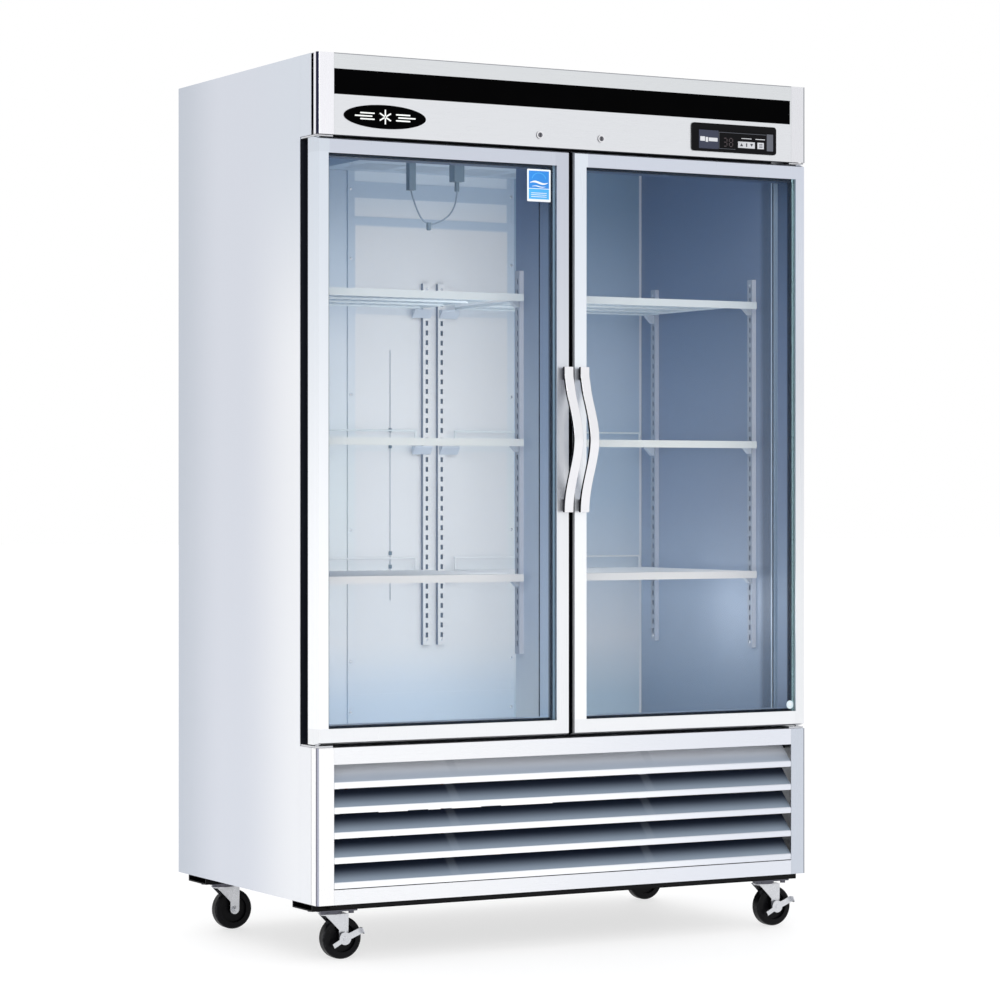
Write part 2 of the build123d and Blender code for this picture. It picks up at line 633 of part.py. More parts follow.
print("tube volume over section times length",
      round(sensor_lead.part.volume / (math.pi * lead_r**2 * lead_length), 4))
write(sensor_lead, "sensor_lead")

# ---- Grille
with BuildPart() as grille_frame:
    slab(fascia_x, back(0, skin), (slot_z[1], lower_top))
    slab(fascia_x, back(0, 86), (lower_top - skin, lower_top))
    slab(fascia_x, back(0, 10), (slot_z[1], slot_z[1] + skin))
    slab(fascia_x, back(0, skin), (body_z, slot_z[0]))
    slab(fascia_x, back(0, 26), (body_z, body_z + skin))
    for x in ((-640, -604), (-327, -305), (218, 240), (604, 640)):
        slab(x, back(46, 48), (body_z + skin + gap, lower_top - skin - gap))
write(grille_frame, "grille_frame")

with BuildPart() as grille_louvres:
    for top in louvre_tops:
        low = top - louvre_lip
        with BuildSketch(Plane.YZ.offset(-640)):
            with BuildLine():
                Polyline(
                    (face_y, low), (face_y, top), (face_y + louvre_rise, top + louvre_rise),
                    (face_y + louvre_rise + skin, top + louvre_rise - skin),
                    (face_y + skin, top - 0.8), (face_y + skin, low + skin),
                    (face_y + 7, low + skin), (face_y + 7, low), close=True,
                )
            make_face()
        extrude(amount=1280)
write(grille_louvres, "grille_louvres")

# ---- Base and machine compartment
rail_z = (120.0, body_z)
with BuildPart() as base_frame:
    for low_d, high_d in ((36, 142), (640, 745)):
        slab((-680, 680), back(low_d, high_d), rail_z)
        slab((-681, 681), back(low_d + 3, high_d - 3), (rail_z[0] + 3, rail_z[1] + 1),
             Mode.SUBTRACT)
        slab((-680, 680), back(low_d, high_d), (body_z - 2.5, body_z))
    slab((-648, 648), back(6, 30), (127, body_z))
    slab((-inner_w, inner_w), back(60, depth - skin), (body_z, body_z + 1.2))
write(base_frame, "base_frame")

with BuildPart() as compressor:
    rod((comp_x, face_y + comp_d, comp_z + 14), "z", 190, 82)
    fillet(compressor.edges().filter_by(GeomType.CIRCLE), 38)
    slab((comp_x - 100, comp_x + 100), back(comp_d - 75, comp_d + 75), (comp_z + 10, comp_z + 14))
    with Locations((comp_x, face_y + comp_d, comp_z)):
        with GridLocations(170, 120, 2, 2):
            Cylinder(12, 10, align=(Align.CENTER, Align.CENTER, Align.MIN))
    rod((comp_x + 60, face_y + comp_d, comp_z + 90), "x", 60, 28)
write(compressor, "compressor")

coil_x, coil_z = (130.0, 470.0), (152.0, 432.0)
with BuildPart() as condenser_coil:
    for i in range(18):
        x = coil_x[0] + 20 * i
        slab((x - 0.6, x + 0.6), back(108, 172), coil_z)
    for tube_d in (124, 156):
        for row in range(5):
            rod((coil_x[0] - 8, face_y + tube_d, 180 + 56 * row), "x", 356, 4.8)
    slab((coil_x[0] - 20, coil_x[1] + 20), back(100, 180), (comp_z, coil_z[0]))
write(condenser_coil, "condenser_coil")

with BuildPart() as refrigerant_tubing:
    for points in (
        ((comp_x, comp_d, comp_z + 204), (comp_x, comp_d, 404), (-60, comp_d, 404),
         (-60, 156, 404), (coil_x[0] - 8, 156, 404)),
        ((coil_x[0] - 8, 124, 180), (20, 124, 180), (20, 700, 180), (20, 700, foam_z - sheet)),
    ):
        with BuildLine() as run:
            FilletPolyline(*[(x, face_y + d, z) for x, d, z in points], radius=25)
        with BuildSketch(Plane(origin=run.line @ 0, z_dir=run.line % 0)):
            Circle(4.0)
        sweep()
write(refrigerant_tubing, "refrigerant_tubing")

cord_r = 4.6
with BuildPart() as cord_gland:
    cup_x = (inlet_x - inlet_half, inlet_x + inlet_half)
    slab(cup_x, back(depth - 26, depth), inlet_hole)
    slab(grown(cup_x, -2), back(depth - 24, depth + 1), grown(inlet_hole, -2), Mode.SUBTRACT)
    rod((inlet_x, face_y + depth - 40, inlet_z), "y", 36, 11)
    rod((inlet_x, face_y + depth - 41, inlet_z), "y", 38, cord_r, Mode.SUBTRACT)
write(cord_gland, "cord_gland")

# ---- Casters
spots = {
    f"{end}_{name}": (side * caster_x, face_y + distance)
    for end, distance in zip(("front", "rear"), caster_d)
    for name, side in SIDES.items()
}
with BuildPart() as caster_plates:
    with Locations(*[(x, y, 0) for x, y in spots.values()]):
        with Locations((0, 0, sum(plate_z) / 2)):
            Box(96, 88, plate_z[1] - plate_z[0])
        with Locations((0, 0, sum(race_z) / 2)):
            Cylinder(27, race_z[1] - race_z[0])
        with Locations((0, 0, (nut_z[0] + race_z[0]) / 2)):
            Cylinder(kingpin_r, race_z[0] - nut_z[0])
        with Locations((0, 0, sum(nut_z) / 2)):
            Cylinder(9, nut_z[1] - nut_z[0])
        with Locations((0, 0, plate_z[0] - 3)):
            with GridLocations(74, 66, 2, 2):
                Cylinder(6.5, 6)
write(caster_plates, "caster_plates")


def axle_point(spot):
    """The wheel's centre under a caster's swivel axis."""
    return (spot[0] + trail, spot[1], wheel_r)


for name, spot in spots.items():
    x, y, z = axle_point(spot)
    with BuildPart() as fork:
        with Locations((spot[0], spot[1], sum(crown_z) / 2)):
            Cylinder(26, crown_z[1] - crown_z[0])
        slab((spot[0], spot[0] + 36), (y - leg_y[1], y + leg_y[1]), crown_z)
        for face in (-1, 1):
            leg = span(face, *leg_y)
            with BuildSketch(Plane.XZ.offset(-(y + leg[1]))):
                with BuildLine():
                    Polyline(
                        (x - 12, z), (x - 12, z + 20), (spot[0] - 25, crown_z[1]),
                        (x + 13, crown_z[1]), (x + 12, z),
                    )
                    ThreePointArc((x + 12, z), (x, z - 12), (x - 12, z))
                make_face()
            extrude(amount=leg[1] - leg[0])
        with Locations((spot[0], spot[1], sum(crown_z) / 2)):
            Cylinder(kingpin_r + turn_clear, 20, mode=Mode.SUBTRACT)
        rod((x, y - leg_y[1] - axle_out, z), "y", 2 * leg_y[1] + 2 * axle_out, axle_r)
        for low in (y - leg_y[1] - 5, y + leg_y[1]):
            with BuildSketch(Plane.XZ.offset(-low)):
                with Locations((x, z)):
                    RegularPolygon(8.5, 6)
            extrude(amount=-5)
    write(fork, f"{name}_fork")

    with BuildPart() as wheel:
        rod((x, y - wheel_half, z), "y", 2 * wheel_half, wheel_r)
        fillet(wheel.edges().filter_by(GeomType.CIRCLE), 7)
        for low in (y - wheel_half - 1, y + wheel_half - 7):
            rod((x, low, z), "y", 8, 34, Mode.SUBTRACT)
        rod((x, y - wheel_half - 1.5, z), "y", 2 * wheel_half + 3, 12)
        rod((x, y - 20, z), "y", 40, axle_r + turn_clear, Mode.SUBTRACT)
    write(wheel, f"{name}_wheel")

for name, side in SIDES.items():
    x, y, z = axle_point(spots[f"front_{name}"])
    lever_y = y - leg_y[1] - 6.5
    with BuildPart() as brake:
        with BuildSketch(Plane.XZ.offset(-lever_y)):
            with Locations((x, z)):
                Circle(15)
                with Locations((22, 9)):
                    Rectangle(46, 15, rotation=22)
                with Locations((-18, -10)):
                    Rectangle(28, 11, rotation=28)
        extrude(amount=2.5)
        with BuildSketch(Plane.XZ.offset(-lever_y)):
            with Locations((x + 42.2, z + 17.2)):
                Rectangle(2.5, 15, rotation=22)
        extrude(amount=14)
        rod((x, lever_y - 4, z), "y", 8, axle_r + turn_clear, Mode.SUBTRACT)
    write(brake, f"{name}_brake_lever")
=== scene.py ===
"""Looks of a two-section glass door merchandiser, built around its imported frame."""

import math

import bmesh
import bpy
from mathutils import Matrix, Vector


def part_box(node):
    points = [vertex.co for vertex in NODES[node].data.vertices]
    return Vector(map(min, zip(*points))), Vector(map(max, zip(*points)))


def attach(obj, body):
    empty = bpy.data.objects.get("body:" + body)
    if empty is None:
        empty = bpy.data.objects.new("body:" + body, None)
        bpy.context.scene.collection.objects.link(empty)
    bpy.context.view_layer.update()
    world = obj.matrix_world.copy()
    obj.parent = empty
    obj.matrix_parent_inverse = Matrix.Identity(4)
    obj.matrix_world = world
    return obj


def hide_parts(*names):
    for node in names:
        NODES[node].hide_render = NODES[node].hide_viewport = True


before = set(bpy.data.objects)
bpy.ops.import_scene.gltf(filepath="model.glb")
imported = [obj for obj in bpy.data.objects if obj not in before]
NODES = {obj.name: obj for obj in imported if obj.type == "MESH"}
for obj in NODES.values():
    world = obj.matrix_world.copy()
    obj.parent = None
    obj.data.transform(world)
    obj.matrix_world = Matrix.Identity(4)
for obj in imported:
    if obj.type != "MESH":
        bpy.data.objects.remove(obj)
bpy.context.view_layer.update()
ROOT = "cabinet"

# ---- Places taken over from the part, in metres
FACE_Y = -0.3665  # face of the doors
SENSOR_Y = FACE_Y + 0.3984
SIDES = {"left": -1, "right": 1}
ROOM_X = 0.645  # side walls of the room
CHANNEL_D = (0.176, 0.644)  # front and rear channels on the side walls
CHANNEL_Z = (0.702, 1.640)
DUCT_D, DUCT_CHANNEL_X = 0.718, 0.022
# heights of the painted shadows that the shelves cast on the duct
SHELF_SHADOW_Z = ((0.875, 0.913), (1.206, 1.244), (1.560, 1.598))
STAY_X = (-0.316, 0.229)  # upright stays behind the louvres
COVER_Z = 1.928  # underside of the evaporator cover


def deep(d):
    """The y of a depth behind the face of the doors."""
    return FACE_Y + d


# ---- Camera
camera_data = bpy.data.cameras.new("camera")
camera_data.sensor_width = 36.0
camera_data.lens = 116.7
camera_data.shift_y = -0.00365
camera_data.clip_start, camera_data.clip_end = 0.1, 100.0
camera = bpy.data.objects.new("camera", camera_data)
camera.location = (-3.9865, -7.125, 1.0874)
camera.rotation_euler = (math.radians(90), 0, math.radians(-29.266))
bpy.context.scene.collection.objects.link(camera)
bpy.context.scene.camera = camera


# ---- Materials
class Shader:
    """A material under construction, with short ways to make its nodes."""

    def __init__(self, name, color, metallic=0.0, roughness=0.5, **sockets):
        self.material = bpy.data.materials.new(name)
        self.material.use_nodes = True
        self.tree = self.material.node_tree
        self.bsdf = self.tree.nodes["Principled BSDF"]
        self.set("Base Color", (*color, 1.0))
        self.set("Metallic", metallic)
        self.set("Roughness", roughness)
        for socket, value in sockets.items():
            self.set(socket.replace("_", " "), value)
        self._axes = {}

    def set(self, socket, value):
        """Give one of the shader's sockets a value, or link another node's output to it."""
        if isinstance(value, bpy.types.NodeSocket):
            self.tree.links.new(value, self.bsdf.inputs[socket])
        else:
            self.bsdf.inputs[socket].default_value = value

    def node(self, kind, inputs=(), **settings):
        made = self.tree.nodes.new("ShaderNode" + kind)
        for key, value in settings.items():
            setattr(made, key, value)
        for key, value in dict(inputs).items():
            if isinstance(value, bpy.types.NodeSocket):
                self.tree.links.new(value, made.inputs[key])
            else:
                made.inputs[key].default_value = value
        return made

    def coords(self, kind="Object"):
        return self.node("TexCoord").outputs[kind]

    def axis(self, name, kind="Object"):
        """One of the three components of the place or the normal."""
        if (name, kind) not in self._axes:
            split = self.node("SeparateXYZ", {0: self.coords(kind)})
            for i, letter in enumerate("xyz"):
                self._axes[letter, kind] = split.outputs[i]
        return self._axes[name, kind]

    def math(self, operation, a, b=0.0):
        return self.node("Math", {0: a, 1: b}, operation=operation).outputs[0]

    def reach(self, kind="Object"):
        """How far to either side a place is, or how far to either side its surface is turned."""
        return self.math("ABSOLUTE", self.axis("x", kind))

    def depth(self):
        """How far behind the face of the doors a place is."""
        return self.math("SUBTRACT", self.axis("y"), FACE_Y)

    def fade(self, value, low, high):
        """0 below low, 1 above high and smooth between."""
        inputs = {"Value": value, "From Min": low, "From Max": high}
        return self.node("MapRange", inputs, interpolation_type="SMOOTHSTEP").outputs[0]

    def band(self, value, low, high, soft):
        """1 between low and high, fading out over soft on both sides."""
        rise = self.fade(value, low - soft, low)
        fall = self.fade(value, high, high + soft)
        return self.math("SUBTRACT", rise, fall)

    def noise(self, scale, stretch=(1, 1, 1), detail=3.0, rough=0.5, coords=None):
        place = self.node("Mapping", {"Vector": coords or self.coords(), "Scale": stretch})
        inputs = {"Vector": place.outputs[0], "Scale": scale, "Detail": detail, "Roughness": rough}
        return self.node("TexNoise", inputs).outputs[0]

    def mix(self, factor, a, b):
        """Blend two colours, or sockets that give colours."""
        made = self.node("Mix", data_type="RGBA")
        for index, value in ((0, factor), (6, a), (7, b)):
            if isinstance(value, bpy.types.NodeSocket):
                self.tree.links.new(value, made.inputs[index])
            else:
                made.inputs[index].default_value = value if index == 0 else (*value[:3], 1.0)
        return made.outputs[2]

    def ramp(self, value, stops):
        """A colour that runs through stops of (place, colour)."""
        low, high = stops[0][0], stops[-1][0]
        part = self.node("MapRange", {"Value": value, "From Min": low, "From Max": high})
        made = self.node("ValToRGB", {0: part.outputs[0]})
        elements = made.color_ramp.elements
        for _ in stops[2:]:
            elements.new(0.5)
        for element, (place, color) in zip(elements, stops):
            element.position = (place - low) / (high - low)
            element.color = (*color, 1.0)
        return made.outputs[0]

    def spread(self, value, low, high):
        """Map 0..1 noise onto a range."""
        return self.node("MapRange", {"Value": value, "From Min": 0.3, "From Max": 0.7,
                                      "To Min": low, "To Max": high}).outputs[0]

    def bump(self, height, strength=0.3, distance=0.001, normal=None):
        inputs = {"Height": height, "Strength": strength, "Distance": distance}
        if normal is not None:
            inputs["Normal"] = normal
        return self.node("Bump", inputs).outputs[0]


def shade(color, factor):
    return tuple(min(1.0, c * factor) for c in color)


GRAIN = {"x": (0.01, 1.0, 1.0), "y": (1.0, 0.01, 1.0), "z": (1.0, 1.0, 0.01)}


def brushed(name, color, grain="z", roughness=0.3, contrast=0.05, metallic=1.0, base=None):
    """Brushed sheet metal: fine scratches along one axis over faint clouds."""
    s = Shader(name, color, metallic, roughness)
    lines = s.noise(900.0, GRAIN[grain], detail=2.0)
    clouds = s.noise(2.2, detail=2.0)
    wear = s.math("ADD", s.math("MULTIPLY", lines, 0.7), s.math("MULTIPLY", clouds, 0.3))
    dark, light = shade(color, 1 - contrast), shade(color, 1 + contrast)
    if base is None:
        s.set("Base Color", s.mix(wear, dark, light))
    else:
        tone = s.mix(wear, (1 - contrast,) * 3, (1.0,) * 3)
        made = s.node("Mix", {0: 1.0, 6: base(s), 7: tone}, data_type="RGBA", blend_type="MULTIPLY")
        s.set("Base Color", made.outputs[2])
    s.set("Roughness", s.spread(wear, roughness - 0.06, roughness + 0.08))
    s.set("Normal", s.bump(lines, 0.06, 0.0004))
    return s.material


def moulded(name, color, roughness=0.45, grain=260.0, strength=0.15, **sockets):
    """Moulded plastic or powder coat: fine leathery grain and slight wear."""
    s = Shader(name, color, 0.0, roughness, **sockets)
    pores = s.noise(grain, detail=4.0)
    clouds = s.noise(9.0, detail=3.0)
    s.set("Base Color", s.mix(s.spread(clouds, 0.0, 1.0), shade(color, 0.86), shade(color, 1.1)))
    s.set("Roughness", s.spread(clouds, roughness - 0.08, roughness + 0.08))
    s.set("Normal", s.bump(pores, strength, 0.0005))
    return s.material


def zinc_plate(name, color=(0.62, 0.63, 0.66)):
    """Bright zinc plating with a fine crystalline mottle."""
    s = Shader(name, color, 1.0, 0.3)
    flakes = s.node("TexVoronoi", {"Vector": s.coords(), "Scale": 420.0}, feature="SMOOTH_F1")
    clouds = s.noise(45.0, detail=4.0)
    tone = s.math("ADD", s.math("MULTIPLY", flakes.outputs[0], 0.4),
                  s.math("MULTIPLY", clouds, 0.6))
    s.set("Base Color", s.mix(tone, shade(color, 0.8), shade(color, 1.25)))
    s.set("Roughness", s.spread(clouds, 0.2, 0.42))
    s.set("Normal", s.bump(clouds, 0.1, 0.0005))
    return s.material


# Painted light and shade inside the cabinet, as stops of (height, colour): the tones brighten and
# darken with height where the light falls
WALL = (  # side walls of the room
    (0.55, (0.33, 0.40, 0.515)), (0.82, (0.50, 0.59, 0.73)), (1.08, (0.375, 0.44, 0.575)),
    (1.47, (0.235, 0.31, 0.45)), (1.88, (0.18, 0.25, 0.405)),
)
THROAT = (  # inside of the door frames, at the hinges
    (0.55, (0.34, 0.42, 0.56)), (0.82, (0.42, 0.53, 0.70)), (1.08, (0.30, 0.38, 0.54)),
    (1.47, (0.195, 0.27, 0.43)), (1.88, (0.070, 0.115, 0.215)),
)
THROAT_MIDDLE = (  # inside of the door frames, at the mullion
    (0.55, (0.66, 0.80, 0.96)), (0.82, (0.58, 0.70, 0.88)), (1.32, (0.36, 0.47, 0.66)),
    (1.88, (0.105, 0.165, 0.285)),
)
POST = (  # sides of the mullion
    (0.55, (0.86, 0.93, 0.97)), (0.80, (0.62, 0.72, 0.86)), (1.32, (0.47, 0.57, 0.71)),
    (1.75, (0.155, 0.225, 0.37)), (1.88, (0.12, 0.18, 0.32)),
)
REAR_RIGHT = (  # rear wall, right of the duct
    (0.55, (0.72, 0.84, 0.92)), (0.71, (1.0, 1.0, 1.0)), (1.09, (0.68, 0.81, 0.93)),
    (1.47, (0.64, 0.76, 0.90)), (1.88, (0.35, 0.49, 0.64)),
)
REAR_LEFT = (  # rear wall left of the duct, and the duct's margins
    (0.55, (0.80, 0.90, 1.0)), (0.71, (1.0, 1.0, 1.0)), (1.09, (0.95, 1.0, 1.0)),
    (1.47, (0.90, 0.95, 1.0)), (1.70, (0.72, 0.82, 0.92)), (1.88, (0.60, 0.71, 0.83)),
)
PANEL = (  # panel of the duct
    (0.57, (0.85, 0.93, 1.0)), (0.71, (1.0, 1.0, 1.0)), (1.09, (1.0, 1.0, 1.0)),
    (1.47, (1.0, 1.0, 1.0)), (1.77, (1.0, 1.0, 1.0)), (1.90, (0.85, 0.93, 1.0)),
)


def liner_metal(name):
    """Smooth inner sheet in painted light and shade: slate tones by height on the walls, darker
    near the doors, paler where it faces forward, with painted highlights along the front edges and
    rear corners.
    """

    def base(s):
        x, y, z = (s.axis(letter) for letter in "xyz")
        wall = s.ramp(z, WALL)
        # painted shade: the walls darken towards the doors
        door_shade = s.math("MULTIPLY", s.fade(y, deep(0.155), deep(0.125)), 0.6)
        wall = s.mix(door_shade, wall, (0.02, 0.04, 0.08))
        # painted highlight along the front edge of the side walls
        wall = s.mix(s.band(y, deep(0.0917), deep(0.0965), 0.0005), wall, (0.62, 0.72, 0.84))
        # painted light and shade on the rear wall, different left and right of the duct
        rear = s.mix(s.fade(x, -0.1, 0.1), s.ramp(z, REAR_LEFT), s.ramp(z, REAR_RIGHT))
        # painted highlight on the rear corners and front edges
        rear = s.mix(s.fade(s.reach(), 0.6370, 0.6380), rear, (1.0, 1.0, 1.0))
        # painted light: forward faces take the paler rear tones, side faces the slate wall tones
        return s.mix(s.fade(s.reach("Normal"), 0.4, 0.6), rear, wall)

    return brushed(name, (1, 1, 1), "z", 0.36, 0.04, metallic=0.2, base=base)


def mullion_metal(name):
    """Post between the doors: sides in painted light and shade that darken towards the top, behind
    a black front.
    """

    def base(s):
        facing = s.fade(s.math("MULTIPLY", s.axis("y", "Normal"), -1.0), 0.5, 0.7)
        front = s.math("MULTIPLY", s.fade(s.axis("y"), deep(0.0935), deep(0.0925)), facing)
        # painted light and shade: the tone of the sides runs by height
        return s.mix(front, s.ramp(s.axis("z"), POST), (0.006, 0.008, 0.014))

    return brushed(name, (1, 1, 1), "z", 0.4, 0.04, metallic=0.15, base=base)


def panel_shading(s):
    """Painted light and shade on the air duct: pale, a little deeper where it nears the top."""
    return s.ramp(s.axis("z"), PANEL)


def duct_metal(name):
    """Rear air duct and cover in painted light and shade: tones by height, pale on the panel and
    the outlet bands, darker on the margins, with painted shadows under the shelves.
    """

    def base(s):
        z, x = s.axis("z"), s.axis("x")
        # painted light and shade: the margins take the rear wall's tones by height
        slate = s.ramp(z, REAR_LEFT)
        centre = s.band(x, -0.222, 0.222, 0.006)
        middle = s.math("MULTIPLY", s.band(z, 0.652, 1.783, 0.008), centre)
        outlets = s.math("ADD", s.band(z, 1.812, 1.857, 0.003), s.band(z, 1.902, 1.926, 0.003))
        light = s.math("MAXIMUM", middle, s.math("MULTIPLY", centre, outlets))
        # painted shadows of the shelves on the duct
        for low, high in SHELF_SHADOW_Z:
            under = s.band(z, low, high, 0.004)
            light = s.math("SUBTRACT", light, s.math("MULTIPLY", under, 0.55))
        return s.mix(s.math("MAXIMUM", light, 0.0), slate, panel_shading(s))

    return brushed(name, (1, 1, 1), "z", 0.4, 0.03, metallic=0.15, base=base)


def pilaster_metal(name):
    """Slotted channels: pale fronts with painted shade on their flanks, and the duct's painted
    light and shade where they stand on it.
    """

    def base(s):
        # painted shade on the flanks, which are turned sideways
        flank = s.fade(s.reach("Normal"), 0.4, 0.6)
        on_duct = s.mix(flank, panel_shading(s), (0.27, 0.32, 0.41))
        on_wall = s.mix(flank, (0.76, 0.80, 0.88), (0.46, 0.51, 0.60))
        near = s.fade(s.reach(), 0.0345, 0.0335)
        is_duct = s.math("MULTIPLY", near, s.fade(s.axis("y"), 0.2, 0.22))
        return s.mix(is_duct, on_wall, on_duct)

    return brushed(name, (1, 1, 1), "z", 0.34, 0.04, metallic=0.2, base=base)


def shelf_paint(name):
    """Epoxy coated wire in painted shade: deeper in tone on the upper shelves."""
    shelf_shading = ((0.88, (1.0, 1.0, 1.0)), (1.21, (0.95, 1.0, 1.0)), (1.60, (0.88, 0.96, 1.0)))
    s = Shader(name, (0.86, 0.90, 0.95), 0.0, 0.34)
    grain = s.noise(500.0, detail=4.0)
    s.set("Base Color", s.ramp(s.axis("z"), shelf_shading))
    s.set("Roughness", s.spread(grain, 0.3, 0.42))
    s.set("Normal", s.bump(grain, 0.05, 0.0004))
    return s.material


def door_metal(name):
    """Satin anodised extrusion in painted light and shade: deeper in tone towards the top, dimmed
    beside the mullion, on the right stile, along the bottom and on the left top rail, and painted
    black shade on the sides where the doors meet.
    """

    def base(s):
        x, z = s.axis("x"), s.axis("z")
        # painted light and shade: each stile darkens towards the top by its own amount
        inner_stile = s.band(x, 0.0, 0.045, 0.002)
        top = s.mix(inner_stile, (0.60, 0.635, 0.72), (0.71, 0.76, 0.83))
        top = s.mix(s.fade(x, -0.650, -0.655), top, (0.65, 0.70, 0.77))
        tone = s.mix(s.fade(z, 0.75, 1.95), (0.93, 0.945, 0.97), top)
        # painted shade beside the mullion, on the right stile, along the bottom and on the left top
        # rail
        beside = s.math("MULTIPLY", s.band(x, -0.045, -0.001, 0.002), 0.11)
        right = s.math("MULTIPLY", s.band(x, 0.652, 0.70, 0.002), s.band(z, 0.6, 1.35, 0.35))
        low = s.math("MULTIPLY", s.fade(z, 0.5475, 0.5465), 0.1)
        dim = s.math("MAXIMUM", beside, s.math("MAXIMUM", s.math("MULTIPLY", right, 0.14), low))
        left = s.math("MULTIPLY", s.fade(x, 0.02, -0.02), 0.06)
        top_rail = s.math("MULTIPLY", s.fade(z, 1.886, 1.890), left)
        tone = s.mix(s.math("MAXIMUM", dim, top_rail), tone, (0.0, 0.0, 0.02))
        # painted shade: black on the frame sides in the gap where the doors meet
        meeting = s.math("MULTIPLY", s.fade(s.reach("Normal"), 0.5, 0.6),
                         s.fade(s.reach(), 0.007, 0.006))
        return s.mix(meeting, tone, (0.006, 0.008, 0.014))

    return brushed(name, (1, 1, 1), "z", 0.32, 0.03, metallic=0.8, base=base)


def backing_plastic(name):
    """Inner door frame: throat in painted light and shade behind a dark spacer, teal glass edges
    painted on and brightened on the right by painted light, black outside.
    """
    s = Shader(name, (0.1, 0.15, 0.2), 0.0, 0.45, Specular_IOR_Level=0.2)
    depth = s.depth()
    x, z = s.axis("x"), s.axis("z")
    reach = s.reach()
    throat = s.math("MULTIPLY", s.band(reach, 0.0455, 0.6510, 0.0005),
                    s.band(z, 0.5515, 1.8815, 0.0005))
    front = s.fade(s.math("MULTIPLY", s.axis("y", "Normal"), -1.0), 0.6, 0.8)
    # teal glass edges painted onto the frame, pale on the right and dim on the left as painted
    # light
    left_teal = s.math("MULTIPLY", front, s.band(x, -0.0480, -0.0410, 0.0004))
    right_teal = s.math("MULTIPLY", front, s.band(x, 0.6485, 0.6560, 0.0004))
    # painted light and shade on the throat: tones by height, different at the hinges and at the
    # mullion
    slate = s.mix(s.fade(reach, 0.11, 0.09), s.ramp(z, THROAT), s.ramp(z, THROAT_MIDDLE))
    # painted shade towards the front of the throat and on the far right
    for dim, amount in ((s.fade(depth, 0.033, 0.031), 0.72), (s.fade(x, 0.5, 0.6), 0.12)):
        slate = s.mix(s.math("MULTIPLY", dim, amount), slate, (0.0, 0.0, 0.01))
    black = (0.004, 0.005, 0.009)
    spacer = s.fade(depth, 0.0245, 0.0235)
    edge = s.mix(left_teal, (0.012, 0.020, 0.035), (0.20, 0.30, 0.40))
    edge = s.mix(right_teal, edge, (0.60, 0.92, 1.0))
    grain = s.noise(240.0, detail=3.0)
    s.set("Base Color", s.mix(spacer, s.mix(throat, black, slate), edge))
    s.set("Roughness", s.spread(grain, 0.38, 0.52))
    s.set("Normal", s.bump(grain, 0.1, 0.0004))
    return s.material


def handle_metal(name):
    """Polished cast handle: bright front and back, with a painted dark reflection on its flanks."""

    def base(s):
        flank = s.fade(s.reach("Normal"), 0.46, 0.62)
        return s.mix(flank, (0.86, 0.86, 0.89), (0.004, 0.004, 0.012))

    return brushed(name, (1, 1, 1), "z", 0.2, 0.05, metallic=1.0, base=base)


def lock_metal(name):
    """Plated lock rings: bright face and a flank darkened by painted shade."""

    def base(s):
        flank = s.fade(s.axis("y", "Normal"), -0.75, -0.55)
        return s.mix(flank, (0.80, 0.80, 0.83), (0.02, 0.02, 0.03))

    return brushed(name, (1, 1, 1), "x", 0.2, 0.05, metallic=0.9, base=base)


def louvre_metal(name):
    """Grille blades in painted light and shade: bright lips that deepen towards the right, blades
    in grey that deepen to navy in the shadow of the lip above, and a faint paler band in front of
    each stay.
    """

    def base(s):
        depth = s.depth()
        # painted shadow: each blade darkens to navy under the lip above
        blade = s.mix(s.fade(depth, 0.004, 0.034), (0.26, 0.32, 0.40), (0.02, 0.03, 0.06))
        top = s.fade(s.axis("z"), 0.4195, 0.4205)
        # painted light and shade on the top blade, paler towards its back
        flat = s.mix(s.fade(depth, 0.006, 0.040), (0.36, 0.41, 0.49), (0.92, 0.95, 1.0))
        low = s.mix(top, blade, flat)
        # painted light: a faint paler band on the blades in front of each stay
        for x in STAY_X:
            stay = s.math("MULTIPLY", s.band(s.axis("x"), x - 0.007, x + 0.007, 0.009), 0.2)
            low = s.mix(stay, low, (0.36, 0.41, 0.48))
        # painted shade: the lips deepen towards the right
        lip = s.mix(s.fade(s.axis("x"), -0.1, 0.6), (0.93, 0.95, 0.98), (0.70, 0.73, 0.80))
        return s.mix(s.fade(depth, 0.0016, 0.0024), lip, low)

    return brushed(name, (1, 1, 1), "x", 0.42, 0.04, metallic=0.25, base=base)


def gasket_rubber(name):
    """Folded magnetic gasket, black, with painted light giving a slate tone to its inner lip."""
    s = Shader(name, (0.012, 0.013, 0.02), 0.0, 0.6, Specular_IOR_Level=0.1)
    folds = s.node("TexWave", {"Vector": s.coords(), "Scale": 120.0, "Distortion": 0.4},
                   bands_direction="Y")
    dust = s.noise(60.0, detail=4.0)
    # painted light on the inner lip of the gasket
    inner = s.math("ADD", s.band(s.reach(), 0.0300, 0.0450, 0.0005),
                   s.band(s.reach(), 0.6470, 0.6545, 0.0005))
    lip = s.math("MULTIPLY", inner, s.band(s.axis("z"), 0.535, 1.898, 0.001))
    tone = s.mix(dust, (0.003, 0.004, 0.007), (0.010, 0.011, 0.016))
    s.set("Base Color", s.mix(lip, tone, (0.35, 0.45, 0.58)))
    s.set("Roughness", s.spread(dust, 0.5, 0.72))
    s.set("Normal", s.bump(folds.outputs[1], 0.35, 0.0008))
    return s.material


